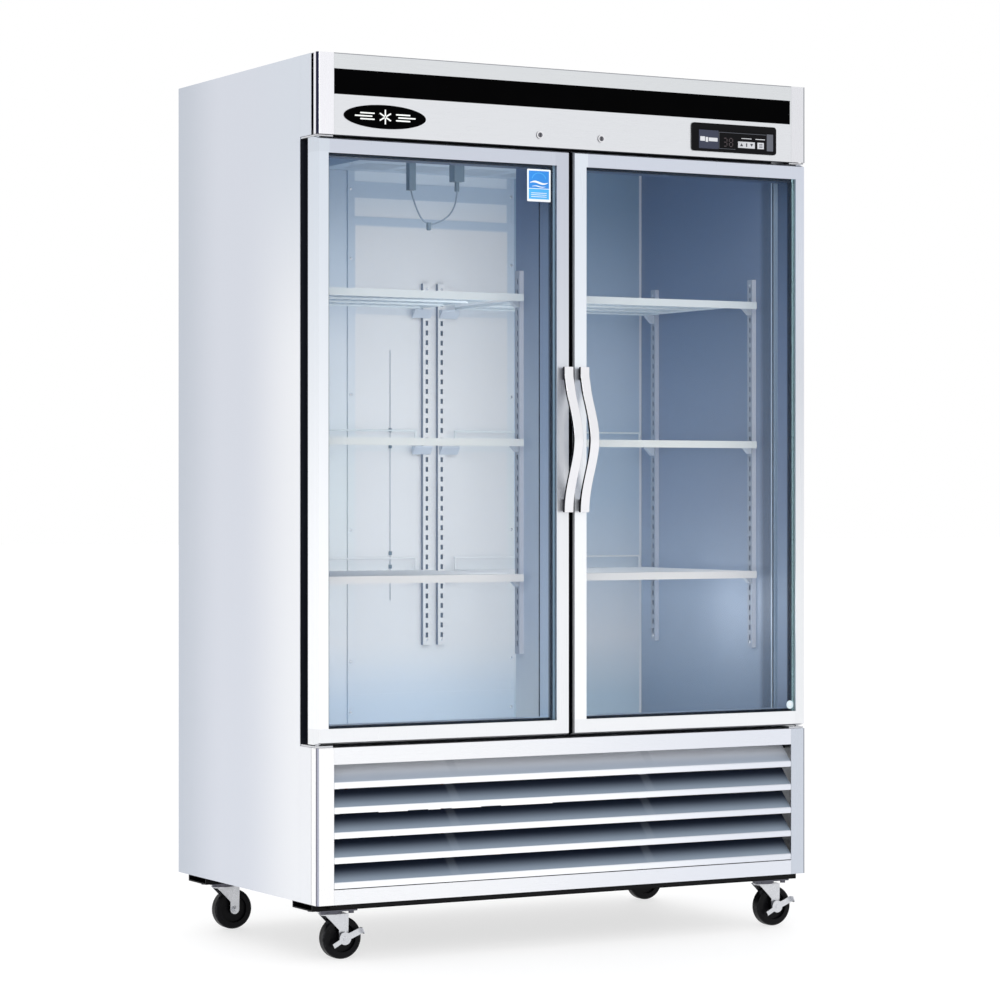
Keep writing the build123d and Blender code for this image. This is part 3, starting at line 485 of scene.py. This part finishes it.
def tyre_rubber(name, centre):
    """Moulded caster wheel with fine turned rings around its axle."""
    s = Shader(name, (0.008, 0.008, 0.011), 0.0, 0.34, Specular_IOR_Level=0.12)
    dx = s.math("SUBTRACT", s.axis("x"), centre[0])
    dz = s.math("SUBTRACT", s.axis("z"), centre[2])
    radius = s.math("SQRT", s.math("ADD", s.math("MULTIPLY", dx, dx), s.math("MULTIPLY", dz, dz)))
    rings = s.math("SINE", s.math("MULTIPLY", radius, 2600.0))
    scuff = s.noise(70.0, detail=5.0)
    worn = s.math("MULTIPLY", s.fade(radius, 0.0455, 0.0495), s.fade(scuff, 0.45, 0.75))
    s.set("Base Color", s.mix(worn, (0.002, 0.002, 0.003), (0.03, 0.03, 0.034)))
    s.set("Roughness", s.spread(scuff, 0.26, 0.46))
    s.set("Normal", s.bump(rings, 0.12, 0.0004, s.bump(scuff, 0.12, 0.0006)))
    return s.material


def fin_stock(name):
    """Aluminium fins pressed on tubes, dusty between."""
    s = Shader(name, (0.55, 0.57, 0.60), 1.0, 0.35)
    ribs = s.math("SINE", s.math("MULTIPLY", s.axis("z"), 2400.0))
    dust = s.noise(30.0, detail=5.0)
    s.set("Base Color", s.mix(dust, (0.42, 0.43, 0.46), (0.70, 0.72, 0.75)))
    s.set("Roughness", s.spread(dust, 0.28, 0.55))
    s.set("Normal", s.bump(ribs, 0.2, 0.0004))
    return s.material


def lamp_tube(name):
    """Frosted tube that glows between its end caps."""
    s = Shader(name, (0.85, 0.88, 0.92), 0.0, 0.4)
    lit = s.band(s.reach(), 0.094, 0.588, 0.004)
    frost = s.noise(300.0, detail=2.0)
    s.set("Base Color", s.mix(frost, (0.78, 0.81, 0.86), (0.9, 0.92, 0.95)))
    s.set("Emission Color", s.mix(lit, (0.0, 0.0, 0.0), (0.86, 0.93, 1.0)))
    s.set("Emission Strength", 1.6)
    s.set("Normal", s.bump(frost, 0.08, 0.0003))
    return s.material


def glass_pane(name):
    """Clear float glass with a faint cool cast and barely visible smears."""
    s = Shader(name, (0.05, 0.09, 0.15), 0.0, 0.03, Alpha=0.05)
    smear = s.noise(3.0, (1.0, 1.0, 0.35), detail=4.0)
    s.set("Roughness", s.spread(smear, 0.02, 0.06))
    s.set("Specular IOR Level", 0.6)
    return s.material


def foam_block(name):
    """Cut polyurethane foam with fine cells."""
    s = Shader(name, (0.80, 0.72, 0.48), 0.0, 0.9)
    cells = s.node("TexVoronoi", {"Vector": s.coords(), "Scale": 350.0})
    clouds = s.noise(12.0, detail=4.0)
    s.set("Base Color", s.mix(clouds, (0.72, 0.62, 0.38), (0.88, 0.82, 0.6)))
    s.set("Normal", s.bump(cells.outputs[0], 0.4, 0.001))
    return s.material


def copper_tube(name):
    """Drawn copper with dull patches."""
    s = Shader(name, (0.72, 0.38, 0.24), 1.0, 0.3)
    patina = s.noise(35.0, detail=5.0)
    s.set("Base Color", s.mix(s.fade(patina, 0.45, 0.7), (0.78, 0.42, 0.27), (0.36, 0.2, 0.14)))
    s.set("Roughness", s.spread(patina, 0.22, 0.5))
    return s.material


def gloss_black(name):
    """Back-painted acrylic strip and badge."""
    s = Shader(name, (0.003, 0.003, 0.004), 0.0, 0.3, Specular_IOR_Level=0.01)
    haze = s.noise(14.0, detail=4.0)
    s.set("Roughness", s.spread(haze, 0.26, 0.36))
    s.set("Base Color", s.mix(haze, (0.0005, 0.0005, 0.0006), (0.001, 0.001, 0.0012)))
    return s.material


def side_metal(name):
    """Side panels: brushed sheet in painted light and shade, deeper towards the rear, and near the
    door brighter low and deeper towards the top.
    """

    def base(s):
        y, z = s.axis("y"), s.axis("z")
        rear = s.mix(s.fade(y, 0.16, 0.43), (0.65, 0.68, 0.75), (0.53, 0.57, 0.64))
        front = s.mix(s.fade(z, 1.35, 1.95), (0.83, 0.845, 0.88), (0.65, 0.69, 0.757))
        return s.mix(s.fade(y, 0.06, -0.27), rear, front)

    return brushed(name, (1, 1, 1), "z", 0.34, 0.035, metallic=0.85, base=base)


def trim_metal(name):
    """Corner trims in painted light and shade: bright on the left, deeper on the right, with
    painted dark reflections in their rounded corners and painted shade on faces turned to the
    right.
    """

    def base(s):
        x, z, turn = s.axis("x"), s.axis("z"), s.axis("x", "Normal")
        high = s.fade(z, 1.2, 1.3)
        left = s.mix(high, (0.94, 0.94, 0.95), (0.86, 0.86, 0.90))
        right = s.mix(high, (0.575, 0.615, 0.69), (0.74, 0.745, 0.78))
        flat = s.mix(s.fade(x, -0.1, 0.1), left, right)
        # painted reflection: navy and dark bands across the rounded corners
        navy = s.band(turn, -0.97, -0.35, 0.02)
        low_corner = s.mix(s.band(turn, -0.86, -0.66, 0.02), (0.62, 0.66, 0.78), (0.26, 0.25, 0.32))
        low_corner = s.mix(s.band(turn, -0.97, -0.90, 0.02), low_corner, (0.02, 0.02, 0.04))
        low_corner = s.mix(s.band(turn, -0.45, -0.30, 0.03), low_corner, (0.10, 0.10, 0.14))
        corner = s.mix(high, low_corner, (0.012, 0.014, 0.035))
        tone = s.mix(navy, flat, corner)
        # painted shade on faces turned to the right
        return s.mix(s.band(turn, 0.25, 0.99, 0.05), tone, (0.12, 0.13, 0.16))

    return brushed(name, (1, 1, 1), "z", 0.28, 0.03, metallic=0.9, base=base)


def fascia_metal(name):
    """Fascia sheet, a little deeper in painted shade above 2.02 m, with a fine dark line along its
    top edge.
    """

    def base(s):
        z = s.axis("z")
        tone = s.mix(s.fade(z, 2.02, 2.03), (0.75, 0.765, 0.795), (0.71, 0.73, 0.75))
        return s.mix(s.fade(z, 2.1165, 2.1175), tone, (0.30, 0.31, 0.34))

    return brushed(name, (1, 1, 1), "x", 0.3, 0.05, metallic=1.0, base=base)


def grille_metal(name):
    """Panels above and below the louvres, deeper towards the right in painted shade."""

    def base(s):
        return s.mix(s.fade(s.axis("x"), -0.45, 0.6), (0.89, 0.90, 0.925), (0.755, 0.78, 0.85))

    return brushed(name, (1, 1, 1), "x", 0.3, 0.04, metallic=1.0, base=base)


fascia_sheet = fascia_metal("fascia_stainless")
trim = trim_metal("trim_stainless")
grille_sheet = grille_metal("grille_stainless")
rear_sheet = brushed("rear_galvanised", (0.62, 0.64, 0.66), "z", 0.42, 0.08)
liner = liner_metal("liner_sheet")
duct = duct_metal("duct_sheet")
pilaster = pilaster_metal("pilaster_steel")
mullion = mullion_metal("mullion_sheet")
door = door_metal("door_anodised")
handle = handle_metal("handle_polished")
louvre = louvre_metal("louvre_steel")
backing = backing_plastic("door_throat")
gasket = gasket_rubber("gasket_rubber")
gloss = gloss_black("gloss_acrylic")
DULL = {"Specular_IOR_Level": 0.1}
black_case = moulded("controller_case", (0.002, 0.002, 0.003), 0.32, 320.0, 0.08, **DULL)
black_plastic = moulded("black_plastic", (0.006, 0.006, 0.008), 0.42, **DULL)
black_paint = moulded("black_paint", (0.004, 0.004, 0.005), 0.38, 180.0, 0.1, **DULL)
anchor_grey = moulded("anchor_grey", (0.20, 0.27, 0.33), 0.4, 300.0, 0.08)
lock_steel = brushed("lock_plug_steel", (0.16, 0.16, 0.18), "x", 0.25, 0.1)
lock_ring = lock_metal("lock_ring")
clip_white = moulded("clip_white", (0.74, 0.80, 0.88), 0.38, 300.0, 0.06)
key_rubber = moulded("key_rubber", (0.54, 0.55, 0.58), 0.5, 420.0, 0.12)
shelf_coat = shelf_paint("shelf_coating")
chrome = brushed("lock_chrome", (0.82, 0.82, 0.84), "x", 0.14, 0.05)
zinc = zinc_plate("zinc_plate")
# caster plates: zinc darkened as painted shade for the shadow under the cabinet
zinc_in_painted_shade = zinc_plate("zinc_in_painted_shade", (0.10, 0.10, 0.12))
fins = fin_stock("fin_stock")
lamp = lamp_tube("lamp_tube")
glass = glass_pane("door_glass")
foam = foam_block("insulation_foam")
copper = copper_tube("copper_tube")
lead = moulded("sensor_lead_sheath", (0.30, 0.37, 0.45), 0.4, 600.0, 0.1)
sides = side_metal("side_panel_steel")

LOOKS = {
    "side_panels": sides, "top_and_rear_panels": rear_sheet, "corner_trims": trim,
    "insulation": foam, "liner": liner, "face_frame": mullion, "mullion": mullion,
    "fascia_panel": fascia_sheet, "fascia_trim": gloss, "controller": black_case,
    "level_key": key_rubber, "set_key": key_rubber, "lock_cylinders": lock_ring,
    "left_lock_plug": lock_steel, "right_lock_plug": lock_steel, "hinge_brackets": zinc,
    "shelf_pilasters": pilaster, "shelf_clips": clip_white, "evaporator_cover": duct,
    "evaporator_coil": fins, "evaporator_fan": black_plastic, "condenser_fan": black_plastic,
    "fan_motors": black_paint, "light_tubes": lamp, "sensor_clips": anchor_grey,
    "sensor_lead": lead, "grille_frame": grille_sheet, "grille_louvres": louvre,
    "base_frame": black_paint, "compressor": black_paint, "condenser_coil": fins,
    "refrigerant_tubing": copper, "cord_gland": black_plastic, "caster_plates": zinc_in_painted_shade,
}
for side in SIDES:
    LOOKS[f"{side}_door_frame"] = door
    LOOKS[f"{side}_door_backing"] = backing
    LOOKS[f"{side}_glass"] = glass
    LOOKS[f"{side}_gasket"] = gasket
    LOOKS[f"{side}_handle"] = handle
    LOOKS[f"{side}_brake_lever"] = zinc
    for level in ("upper", "middle", "lower"):
        LOOKS[f"{side}_{level}_shelf"] = shelf_coat
    for end in ("front", "rear"):
        LOOKS[f"{end}_{side}_fork"] = zinc
        low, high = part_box(f"{end}_{side}_wheel")
        centre = [(a + b) / 2 for a, b in zip(low, high)]
        LOOKS[f"{end}_{side}_wheel"] = tyre_rubber(f"{end}_{side}_tyre", centre)
for name, look in LOOKS.items():
    for material_slot in NODES[name].material_slots:
        material_slot.material = look


# ---- New pieces
def piece(name, mesh, look, body):
    """Link a finished mesh, or curve, as a piece on a body."""
    made = bpy.data.objects.new(name, mesh)
    bpy.context.scene.collection.objects.link(made)
    mesh.materials.append(look)
    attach(made, body)
    return made


def built(name, build, smooth=False):
    """A mesh filled by a function that works on a bmesh."""
    mesh = bpy.data.meshes.new(name)
    work = bmesh.new()
    build(work)
    bmesh.ops.recalc_face_normals(work, faces=work.faces)
    for face in work.faces:
        face.smooth = smooth
    work.to_mesh(mesh)
    work.free()
    return mesh


def plate(work, outline, y_front, y_back):
    """A thin plate facing the front from an outline of (x, z) points, counter-clockwise."""
    front = [work.verts.new((x, y_front, z)) for x, z in outline]
    rear = [work.verts.new((x, y_back, z)) for x, z in outline]
    work.faces.new(front)
    work.faces.new(rear[::-1])
    for i in range(len(outline)):
        j = (i + 1) % len(outline)
        work.faces.new((front[j], front[i], rear[i], rear[j]))


def rectangle(x, z, corner=0.0, steps=5):
    """Outline of a rectangle between limits, with round corners if asked."""
    if not corner:
        return [(x[0], z[0]), (x[1], z[0]), (x[1], z[1]), (x[0], z[1])]
    outline = []
    for cx, cz, start in (
        (x[1] - corner, z[0] + corner, -90), (x[1] - corner, z[1] - corner, 0),
        (x[0] + corner, z[1] - corner, 90), (x[0] + corner, z[0] + corner, 180),
    ):
        for i in range(steps + 1):
            turn = math.radians(start + 90 * i / steps)
            outline.append((cx + corner * math.cos(turn), cz + corner * math.sin(turn)))
    return outline


def disc(x, z, radius, count=32):
    turns = [2 * math.pi * i / count for i in range(count)]
    return [(x + radius * math.cos(t), z + radius * math.sin(t)) for t in turns]


def tube_ring(work, centre, normal, radius, wire, around=48, section=8):
    """A closed ring of wire."""
    turn = Vector(normal).to_track_quat("Z", "Y").to_matrix()
    rows = []
    for i in range(around):
        a = 2 * math.pi * i / around
        row = []
        for j in range(section):
            b = 2 * math.pi * j / section
            r = radius + wire * math.cos(b)
            local = Vector((r * math.cos(a), r * math.sin(a), wire * math.sin(b)))
            row.append(work.verts.new(Vector(centre) + turn @ local))
        rows.append(row)
    for i in range(around):
        one, two = rows[i], rows[(i + 1) % around]
        for j in range(section):
            k = (j + 1) % section
            work.faces.new((one[j], two[j], two[k], one[k]))


def straight_wire(work, start, end, wire, section=8):
    """A round wire between two points."""
    start, end = Vector(start), Vector(end)
    turn = (end - start).to_track_quat("Z", "Y").to_matrix()
    caps = []
    for place in (start, end):
        row = []
        for j in range(section):
            b = 2 * math.pi * j / section
            local = Vector((wire * math.cos(b), wire * math.sin(b), 0))
            row.append(work.verts.new(place + turn @ local))
        caps.append(row)
    work.faces.new(caps[0][::-1])
    work.faces.new(caps[1])
    for j in range(section):
        k = (j + 1) % section
        work.faces.new((caps[0][j], caps[0][k], caps[1][k], caps[1][j]))


def screw_head(work, place, normal, radius=0.0042, high=0.0018):
    """A domed head with a cross recess."""
    turn = Vector(normal).to_track_quat("Z", "Y").to_matrix()
    profile = ((0.20, 0.62), (0.42, 0.93), (0.72, 0.78), (0.93, 0.42), (1.0, 0.0))
    count = 16
    centre = work.verts.new(Vector(place) + turn @ Vector((0, 0, 0.35 * high)))
    rows = []
    for step, (r, h) in enumerate(profile):
        row = []
        for i in range(count):
            a = 2 * math.pi * i / count
            reach = r * (1.7 if step == 0 and i % 4 == 0 else 1.0)
            local = Vector((reach * radius * math.cos(a), reach * radius * math.sin(a), h * high))
            row.append(work.verts.new(Vector(place) + turn @ local))
        rows.append(row)
    for i in range(count):
        j = (i + 1) % count
        work.faces.new((centre, rows[0][i], rows[0][j]))
        for one, two in zip(rows, rows[1:]):
            work.faces.new((one[i], two[i], two[j], one[j]))


def screws(name, places, normal, look, body, radius=0.0042, high=0.0018):
    def build(work):
        for place in places:
            screw_head(work, place, normal, radius, high)

    return piece(name, built(name, build, smooth=True), look, body)


# Sensor lead, hanging between its two anchors
LEAD_ROUTE = [
    (-0.100, 1.853), (-0.102, 1.832), (-0.108, 1.812), (-0.119, 1.795), (-0.135, 1.782),
    (-0.154, 1.773), (-0.173, 1.767), (-0.191, 1.771), (-0.204, 1.785), (-0.214, 1.804),
    (-0.223, 1.826), (-0.230, 1.850),
]
lead_curve = bpy.data.curves.new("hanging_sensor_lead", "CURVE")
lead_curve.dimensions = "3D"
lead_line = lead_curve.splines.new("NURBS")
lead_line.points.add(len(LEAD_ROUTE) - 1)
for point, (x, z) in zip(lead_line.points, LEAD_ROUTE):
    point.co = (x, SENSOR_Y, z, 1.0)
lead_line.order_u = 3
lead_line.use_endpoint_u = True
lead_line.resolution_u = 12
lead_curve.bevel_depth = 0.002
lead_curve.bevel_resolution = 4
lead_curve.use_fill_caps = True
hanging_lead = piece("hanging_sensor_lead", lead_curve, lead, ROOT)
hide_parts("sensor_lead")

# Badge motif, a plain frost star between two bars, in place of any wording
badge_white = moulded("badge_white", (0.82, 0.84, 0.82), 0.35, 500.0, 0.05)
BADGE = (-0.508, 1.976)
BADGE_Y = (FACE_Y - 0.0021, FACE_Y - 0.0012)


def badge_motif(work):
    for i in range(3):
        turn = math.radians(30 + 60 * i)
        along, across = (math.cos(turn), math.sin(turn)), (-math.sin(turn), math.cos(turn))
        half_long, half_wide = 0.017, 0.0016
        plate(work, [
            (BADGE[0] + u * half_long * along[0] + v * half_wide * across[0],
             BADGE[1] + u * half_long * along[1] + v * half_wide * across[1])
            for u, v in ((-1, -1), (1, -1), (1, 1), (-1, 1))
        ], *BADGE_Y)
    for sign in SIDES.values():
        for z, near, far in ((0.007, 0.028, 0.066), (-0.007, 0.028, 0.066), (0.0, 0.034, 0.080)):
            ends = sorted((BADGE[0] + sign * near, BADGE[0] + sign * far))
            plate(work, rectangle(ends, (BADGE[1] + z - 0.0016, BADGE[1] + z + 0.0016), 0.0015),
                  *BADGE_Y)


piece("badge_motif", built("badge_motif", badge_motif), badge_white, ROOT)

# Controller face: tinted patch, outline, seven-segment figures, tick line and side strip
SCREEN_Y = FACE_Y - 0.0015
display_blue = moulded("display_patch", (0.018, 0.024, 0.055), 0.3, 400.0, 0.04)
display_line = moulded("display_line", (0.085, 0.092, 0.115), 0.35, 400.0, 0.04)
display_white = moulded("display_white", (0.62, 0.63, 0.66), 0.4, 400.0, 0.04)
display_dim = moulded("display_dim", (0.045, 0.03, 0.035), 0.4, 400.0, 0.04)


def face_plates(name, outlines, look, proud=0.0003):
    def build(work):
        for outline in outlines:
            plate(work, outline, SCREEN_Y - proud, SCREEN_Y + 0.0002)

    return piece(name, built(name, build), look, ROOT)


face_plates("display_patch", [rectangle((0.3645, 0.422), (1.9495, 1.9955))], display_blue)
face_plates("display_strip", [rectangle((0.566, 0.585), (1.952, 1.994))], display_line)
face_plates("display_outline", [
    rectangle((0.424, 0.5645), (1.9915, 1.9925)), rectangle((0.423, 0.4242), (1.951, 1.9925)),
    rectangle((0.424, 0.472), (1.951, 1.952)),
], display_line)
face_plates("display_marks", [
    rectangle((x, x + w), (z, z + h)) for x, w, z, h in (
        (0.368, 0.014, 1.968, 0.011), (0.384, 0.007, 1.966, 0.012), (0.393, 0.026, 1.968, 0.009),
        (0.490, 0.030, 1.979, 0.0016), (0.532, 0.028, 1.979, 0.0016),
    )
], display_white, 0.0006)

SEGMENTS = {"3": "abcdg", "8": "abcdefg"}
BARS = {
    "a": (0, 1, 1, 1), "g": (0, 0.5, 1, 0.5), "d": (0, 0, 1, 0), "f": (0, 0.5, 0, 1),
    "b": (1, 0.5, 1, 1), "e": (0, 0, 0, 0.5), "c": (1, 0, 1, 0.5),
}


def figure(text, x, z, wide, high, stroke):
    """Outlines of the lit bars of a seven-segment figure."""
    outlines = []
    for bar in SEGMENTS[text]:
        x0, z0, x1, z1 = BARS[bar]
        level = z0 == z1
        grow_x, grow_z = (-stroke * 0.7, stroke / 2) if level else (stroke / 2, -stroke * 0.7)
        outlines.append(rectangle(
            (x + wide * x0 - grow_x, x + wide * x1 + grow_x),
            (z + high * z0 - grow_z, z + high * z1 + grow_z),
        ))
    return outlines


face_plates("display_figures", [
    outline for i, text in enumerate("38")
    for outline in figure(text, 0.437 + 0.017 * i, 1.958, 0.010, 0.020, 0.0022)
], display_dim)

# Legends on the keys, in dark relief
KEY_FRONT = FACE_Y - 0.0026
key_mark = moulded("key_mark", (0.02, 0.02, 0.03), 0.45)


def key_legend(name, body, outlines):
    def build(work):
        for outline in outlines:
            plate(work, outline, KEY_FRONT - 0.0002, KEY_FRONT + 0.0002)

    return piece(name, built(name, build), key_mark, body)


key_legend("level_key_legend", "level_key", [
    [(0.4855, 1.9605), (0.4945, 1.9605), (0.490, 1.9675)],
    [(0.5155, 1.9675), (0.520, 1.9605), (0.5245, 1.9675)],
    rectangle((0.5035, 0.5065), (1.9595, 1.9685)),
])
key_legend("set_key_legend", "set_key", [
    rectangle((0.5425, 0.5525), (1.9665, 1.968)), rectangle((0.5425, 0.5525), (1.963, 1.9645)),
    rectangle((0.5425, 0.5525), (1.9595, 1.961)),
])

# Card stuck on the left glass: white margin, blue field, pale lower part, plain waves
LABEL_X, LABEL_Z = (-0.121, -0.056), (1.797, 1.875)
GLASS_FRONT = FACE_Y + 0.006
card_white = moulded("card_white", (0.86, 0.90, 0.94), 0.45, 400.0, 0.04)
card_blue = moulded("card_blue", (0.015, 0.24, 0.72), 0.4, 400.0, 0.04)
card_light = moulded("card_light_blue", (0.06, 0.42, 0.86), 0.4, 400.0, 0.04)


def card(name, outlines, look, proud):
    def build(work):
        for outline in outlines:
            plate(work, outline, GLASS_FRONT - proud, GLASS_FRONT - 0.00004)

    return piece(name, built(name, build), look, "left_door")


def wave(z, thick, x0, x1, lift):
    """Outline of a gentle wave."""
    count = 14
    top, low = [], []
    for i in range(count + 1):
        t = i / count
        x, rise = x0 + (x1 - x0) * t, lift * math.sin(2 * math.pi * t)
        half = thick * math.sin(math.pi * (0.08 + 0.84 * t)) / 2
        low.append((x, z + rise - half))
        top.append((x, z + rise + half))
    return low + top[::-1]


card("label_card", [rectangle(LABEL_X, LABEL_Z, 0.002)], card_white, 0.0003)
card("label_field", [rectangle((-0.1165, -0.0605), (1.829, 1.871))], card_blue, 0.0005)
card("label_foot", [rectangle((-0.1165, -0.0605), (1.803, 1.8275))], card_light, 0.0005)
card("label_waves", [
    wave(1.8425, 0.0052, -0.113, -0.064, 0.0026), wave(1.8335, 0.0022, -0.108, -0.070, 0.0012),
], card_white, 0.0007)
card("label_arc", [
    [(-0.0885 + r * math.cos(math.radians(a)), 1.846 + r * math.sin(math.radians(a)))
     for r, turns in ((0.021, range(20, 165, 8)), (0.0195, range(160, 15, -8))) for a in turns],
], card_light, 0.0007)
card("label_rule", [rectangle((-0.110, -0.067), (z, z + 0.0013)) for z in (1.808, 1.8125, 1.817)],
     card_white, 0.0007)

# Round glazing mark in the low corner of the right glass
round_mark = moulded("glazing_mark", (0.72, 0.84, 0.90), 0.4, 400.0, 0.04)


def glazing_mark(work):
    plate(work, disc(0.641, 0.563, 0.0105), GLASS_FRONT - 0.0004, GLASS_FRONT - 0.00004)


def glazing_dot(work):
    plate(work, disc(0.6405, 0.564, 0.005), GLASS_FRONT - 0.0007, GLASS_FRONT - 0.0003)


for name, build, look in (
    ("glazing_mark", glazing_mark, round_mark), ("glazing_dot", glazing_dot, card_white),
):
    piece(name, built(name, build), look, "right_door")

# Screws on the duct, the cover and the slotted channels
CHANNEL_SCREW_Z, CHANNEL_DEEP = (0.713, 1.628), 0.012
screws("duct_screws", [
    (sign * 0.2375, deep(DUCT_D), z)
    for sign in SIDES.values() for z in (0.53, 0.66, 1.0, 1.35, 1.7, 1.88)
], (0, -1, 0), chrome, ROOT)
screws("cover_screws", [
    (x, deep(d), COVER_Z) for x in (-0.318, 0.318) for d in (0.235, 0.40, 0.56, 0.70)
], (0, 0, -1), chrome, ROOT)
screws("pilaster_screws", [
    (sign * DUCT_CHANNEL_X, deep(DUCT_D - CHANNEL_DEEP), z)
    for sign in SIDES.values() for z in CHANNEL_SCREW_Z
], (0, -1, 0), chrome, ROOT, 0.0035, 0.0014)
for name, sign in SIDES.items():
    screws(f"{name}_wall_screws", [
        (sign * (ROOM_X - CHANNEL_DEEP), deep(d), z) for d in CHANNEL_D for z in CHANNEL_SCREW_Z
    ], (-sign, 0, 0), chrome, ROOT, 0.0035, 0.0014)


# Dark strips inside the slotted channels, behind their slots: painted shade for the shadow inside
# the channels
slot_shadow_strip = moulded("slot_shadow_strip", (0.18, 0.225, 0.30), 0.6, 300.0, 0.08, **DULL)
STRIP_HALF, STRIP_IN, STRIP_THICK = 0.0085, 0.0080, 0.0005


def box_between(work, x, y, z):
    """A small box between limits given in either order."""
    centre = [sum(pair) / 2 for pair in (x, y, z)]
    size = [abs(b - a) for a, b in (x, y, z)]
    place = Matrix.Translation(centre) @ Matrix.Diagonal((*size, 1))
    bmesh.ops.create_cube(work, size=1.0, matrix=place)


def channel_strips(work):
    for sign in SIDES.values():
        x = [sign * (DUCT_CHANNEL_X + edge) for edge in (-STRIP_HALF, STRIP_HALF)]
        d = DUCT_D - STRIP_IN
        box_between(work, x, (deep(d), deep(d + STRIP_THICK)), CHANNEL_Z)
        walls = [(ROOM_X - STRIP_IN, d) for d in CHANNEL_D] + [(0.040 + STRIP_IN, CHANNEL_D[0])]
        for wall, d in walls:
            x = (sign * wall, sign * (wall + STRIP_THICK))
            box_between(work, x, (deep(d - STRIP_HALF), deep(d + STRIP_HALF)), CHANNEL_Z)


piece("channel_strips", built("channel_strips", channel_strips), slot_shadow_strip, ROOT)

# Probe lead laid straight down the duct, with a clip above and below each shelf
probe_grey = moulded("probe_grey", (0.48, 0.54, 0.62), 0.5, 400.0, 0.08)
PROBE_X, PROBE_Y = -0.124, deep(0.7170)


def probe_line(work):
    straight_wire(work, (PROBE_X, PROBE_Y, 0.818), (PROBE_X, PROBE_Y, 1.467), 0.0009)


def probe_clips(work):
    for z in (0.940, 0.905, 1.259, 1.217):
        box_between(work, (PROBE_X - 0.004, PROBE_X + 0.004), (deep(0.7145), deep(0.7179)),
                    (z - 0.005, z + 0.005))


piece("probe_line", built("probe_line", probe_line, smooth=True), probe_grey, ROOT)
piece("probe_clips", built("probe_clips", probe_clips), anchor_grey, ROOT)


# Wire guards of the two fans
def guard(name, centre, normal, radii, wire, spokes=6):
    turn = Vector(normal).to_track_quat("Z", "Y").to_matrix()

    def build(work):
        for radius in radii:
            tube_ring(work, centre, normal, radius, wire)
        for i in range(spokes):
            a = 2 * math.pi * i / spokes
            arm = turn @ Vector((math.cos(a), math.sin(a), 0))
            lift = turn @ Vector((0, 0, -1.6 * wire))
            straight_wire(work, Vector(centre) + lift + arm * radii[0],
                          Vector(centre) + lift + arm * radii[-1], wire)

    return piece(name, built(name, build, smooth=True), zinc, ROOT)


guard("evaporator_fan_guard", (0.060, deep(0.340), 1.9258), (0, 0, -1),
      [0.018 + 0.0125 * i for i in range(8)], 0.0009)
guard("condenser_fan_guard", (0.300, deep(0.194), 0.290), (0, -1, 0),
      [0.02 + 0.0145 * i for i in range(8)], 0.0011, 8)


# ---- Studio
floor_mesh = built("floor", lambda work: bmesh.ops.create_grid(work, x_segments=1, y_segments=1,
                                                               size=60.0))
floor = bpy.data.objects.new("floor", floor_mesh)
bpy.context.scene.collection.objects.link(floor)
floor_look = Shader("floor_white", (0.93, 0.93, 0.94), 0.0, 0.7)
speckle = floor_look.noise(40.0, detail=2.0)
floor_look.set("Base Color", floor_look.mix(speckle, (0.315, 0.315, 0.32), (0.33, 0.33, 0.33)))
# The floor glows a little, so that the shadow on it stays faint
floor_look.set("Emission Color", (1.0, 1.0, 1.0, 1.0))
floor_look.set("Emission Strength", 0.68)
floor_mesh.materials.append(floor_look.material)

world = bpy.data.worlds.new("studio")
bpy.context.scene.world = world
world.use_nodes = True
background = world.node_tree.nodes["Background"]
background.inputs["Color"].default_value = (1.0, 1.0, 1.0, 1.0)
background.inputs["Strength"].default_value = 1.0


def soft_light(name, place, aim, size, power, color=(1, 1, 1)):
    """A rectangular area light turned towards a point."""
    data = bpy.data.lights.new(name, "AREA")
    data.shape = "RECTANGLE"
    data.size, data.size_y = size
    data.energy = power
    data.color = color
    lamp_object = bpy.data.objects.new(name, data)
    lamp_object.location = place
    aim_at = Vector(aim) - Vector(place)
    lamp_object.rotation_euler = aim_at.to_track_quat("-Z", "Y").to_euler()
    bpy.context.scene.collection.objects.link(lamp_object)


soft_light("key", (-2.5, -5.0, 3.6), (0, 0, 0.9), (3.0, 3.0), 90.0)
COOL = (0.92, 0.96, 1.0)
soft_light("bay_fill", (0.0, deep(0.22), 1.11), (0.0, deep(0.72), 1.11), (0.45, 1.5), 2.35, COOL)
soft_light("right_bay_fill", (0.34, deep(0.20), 1.15), (0.34, deep(0.72), 1.15), (0.5, 1.25), 0.2,
           COOL)
soft_light("right_wall_light", (0.47, -0.10, 0.80), (ROOM_X, -0.10, 0.80), (0.10, 0.14), 0.16)

scene = bpy.context.scene
scene.view_settings.view_transform = "Standard"
scene.view_settings.look = "None"
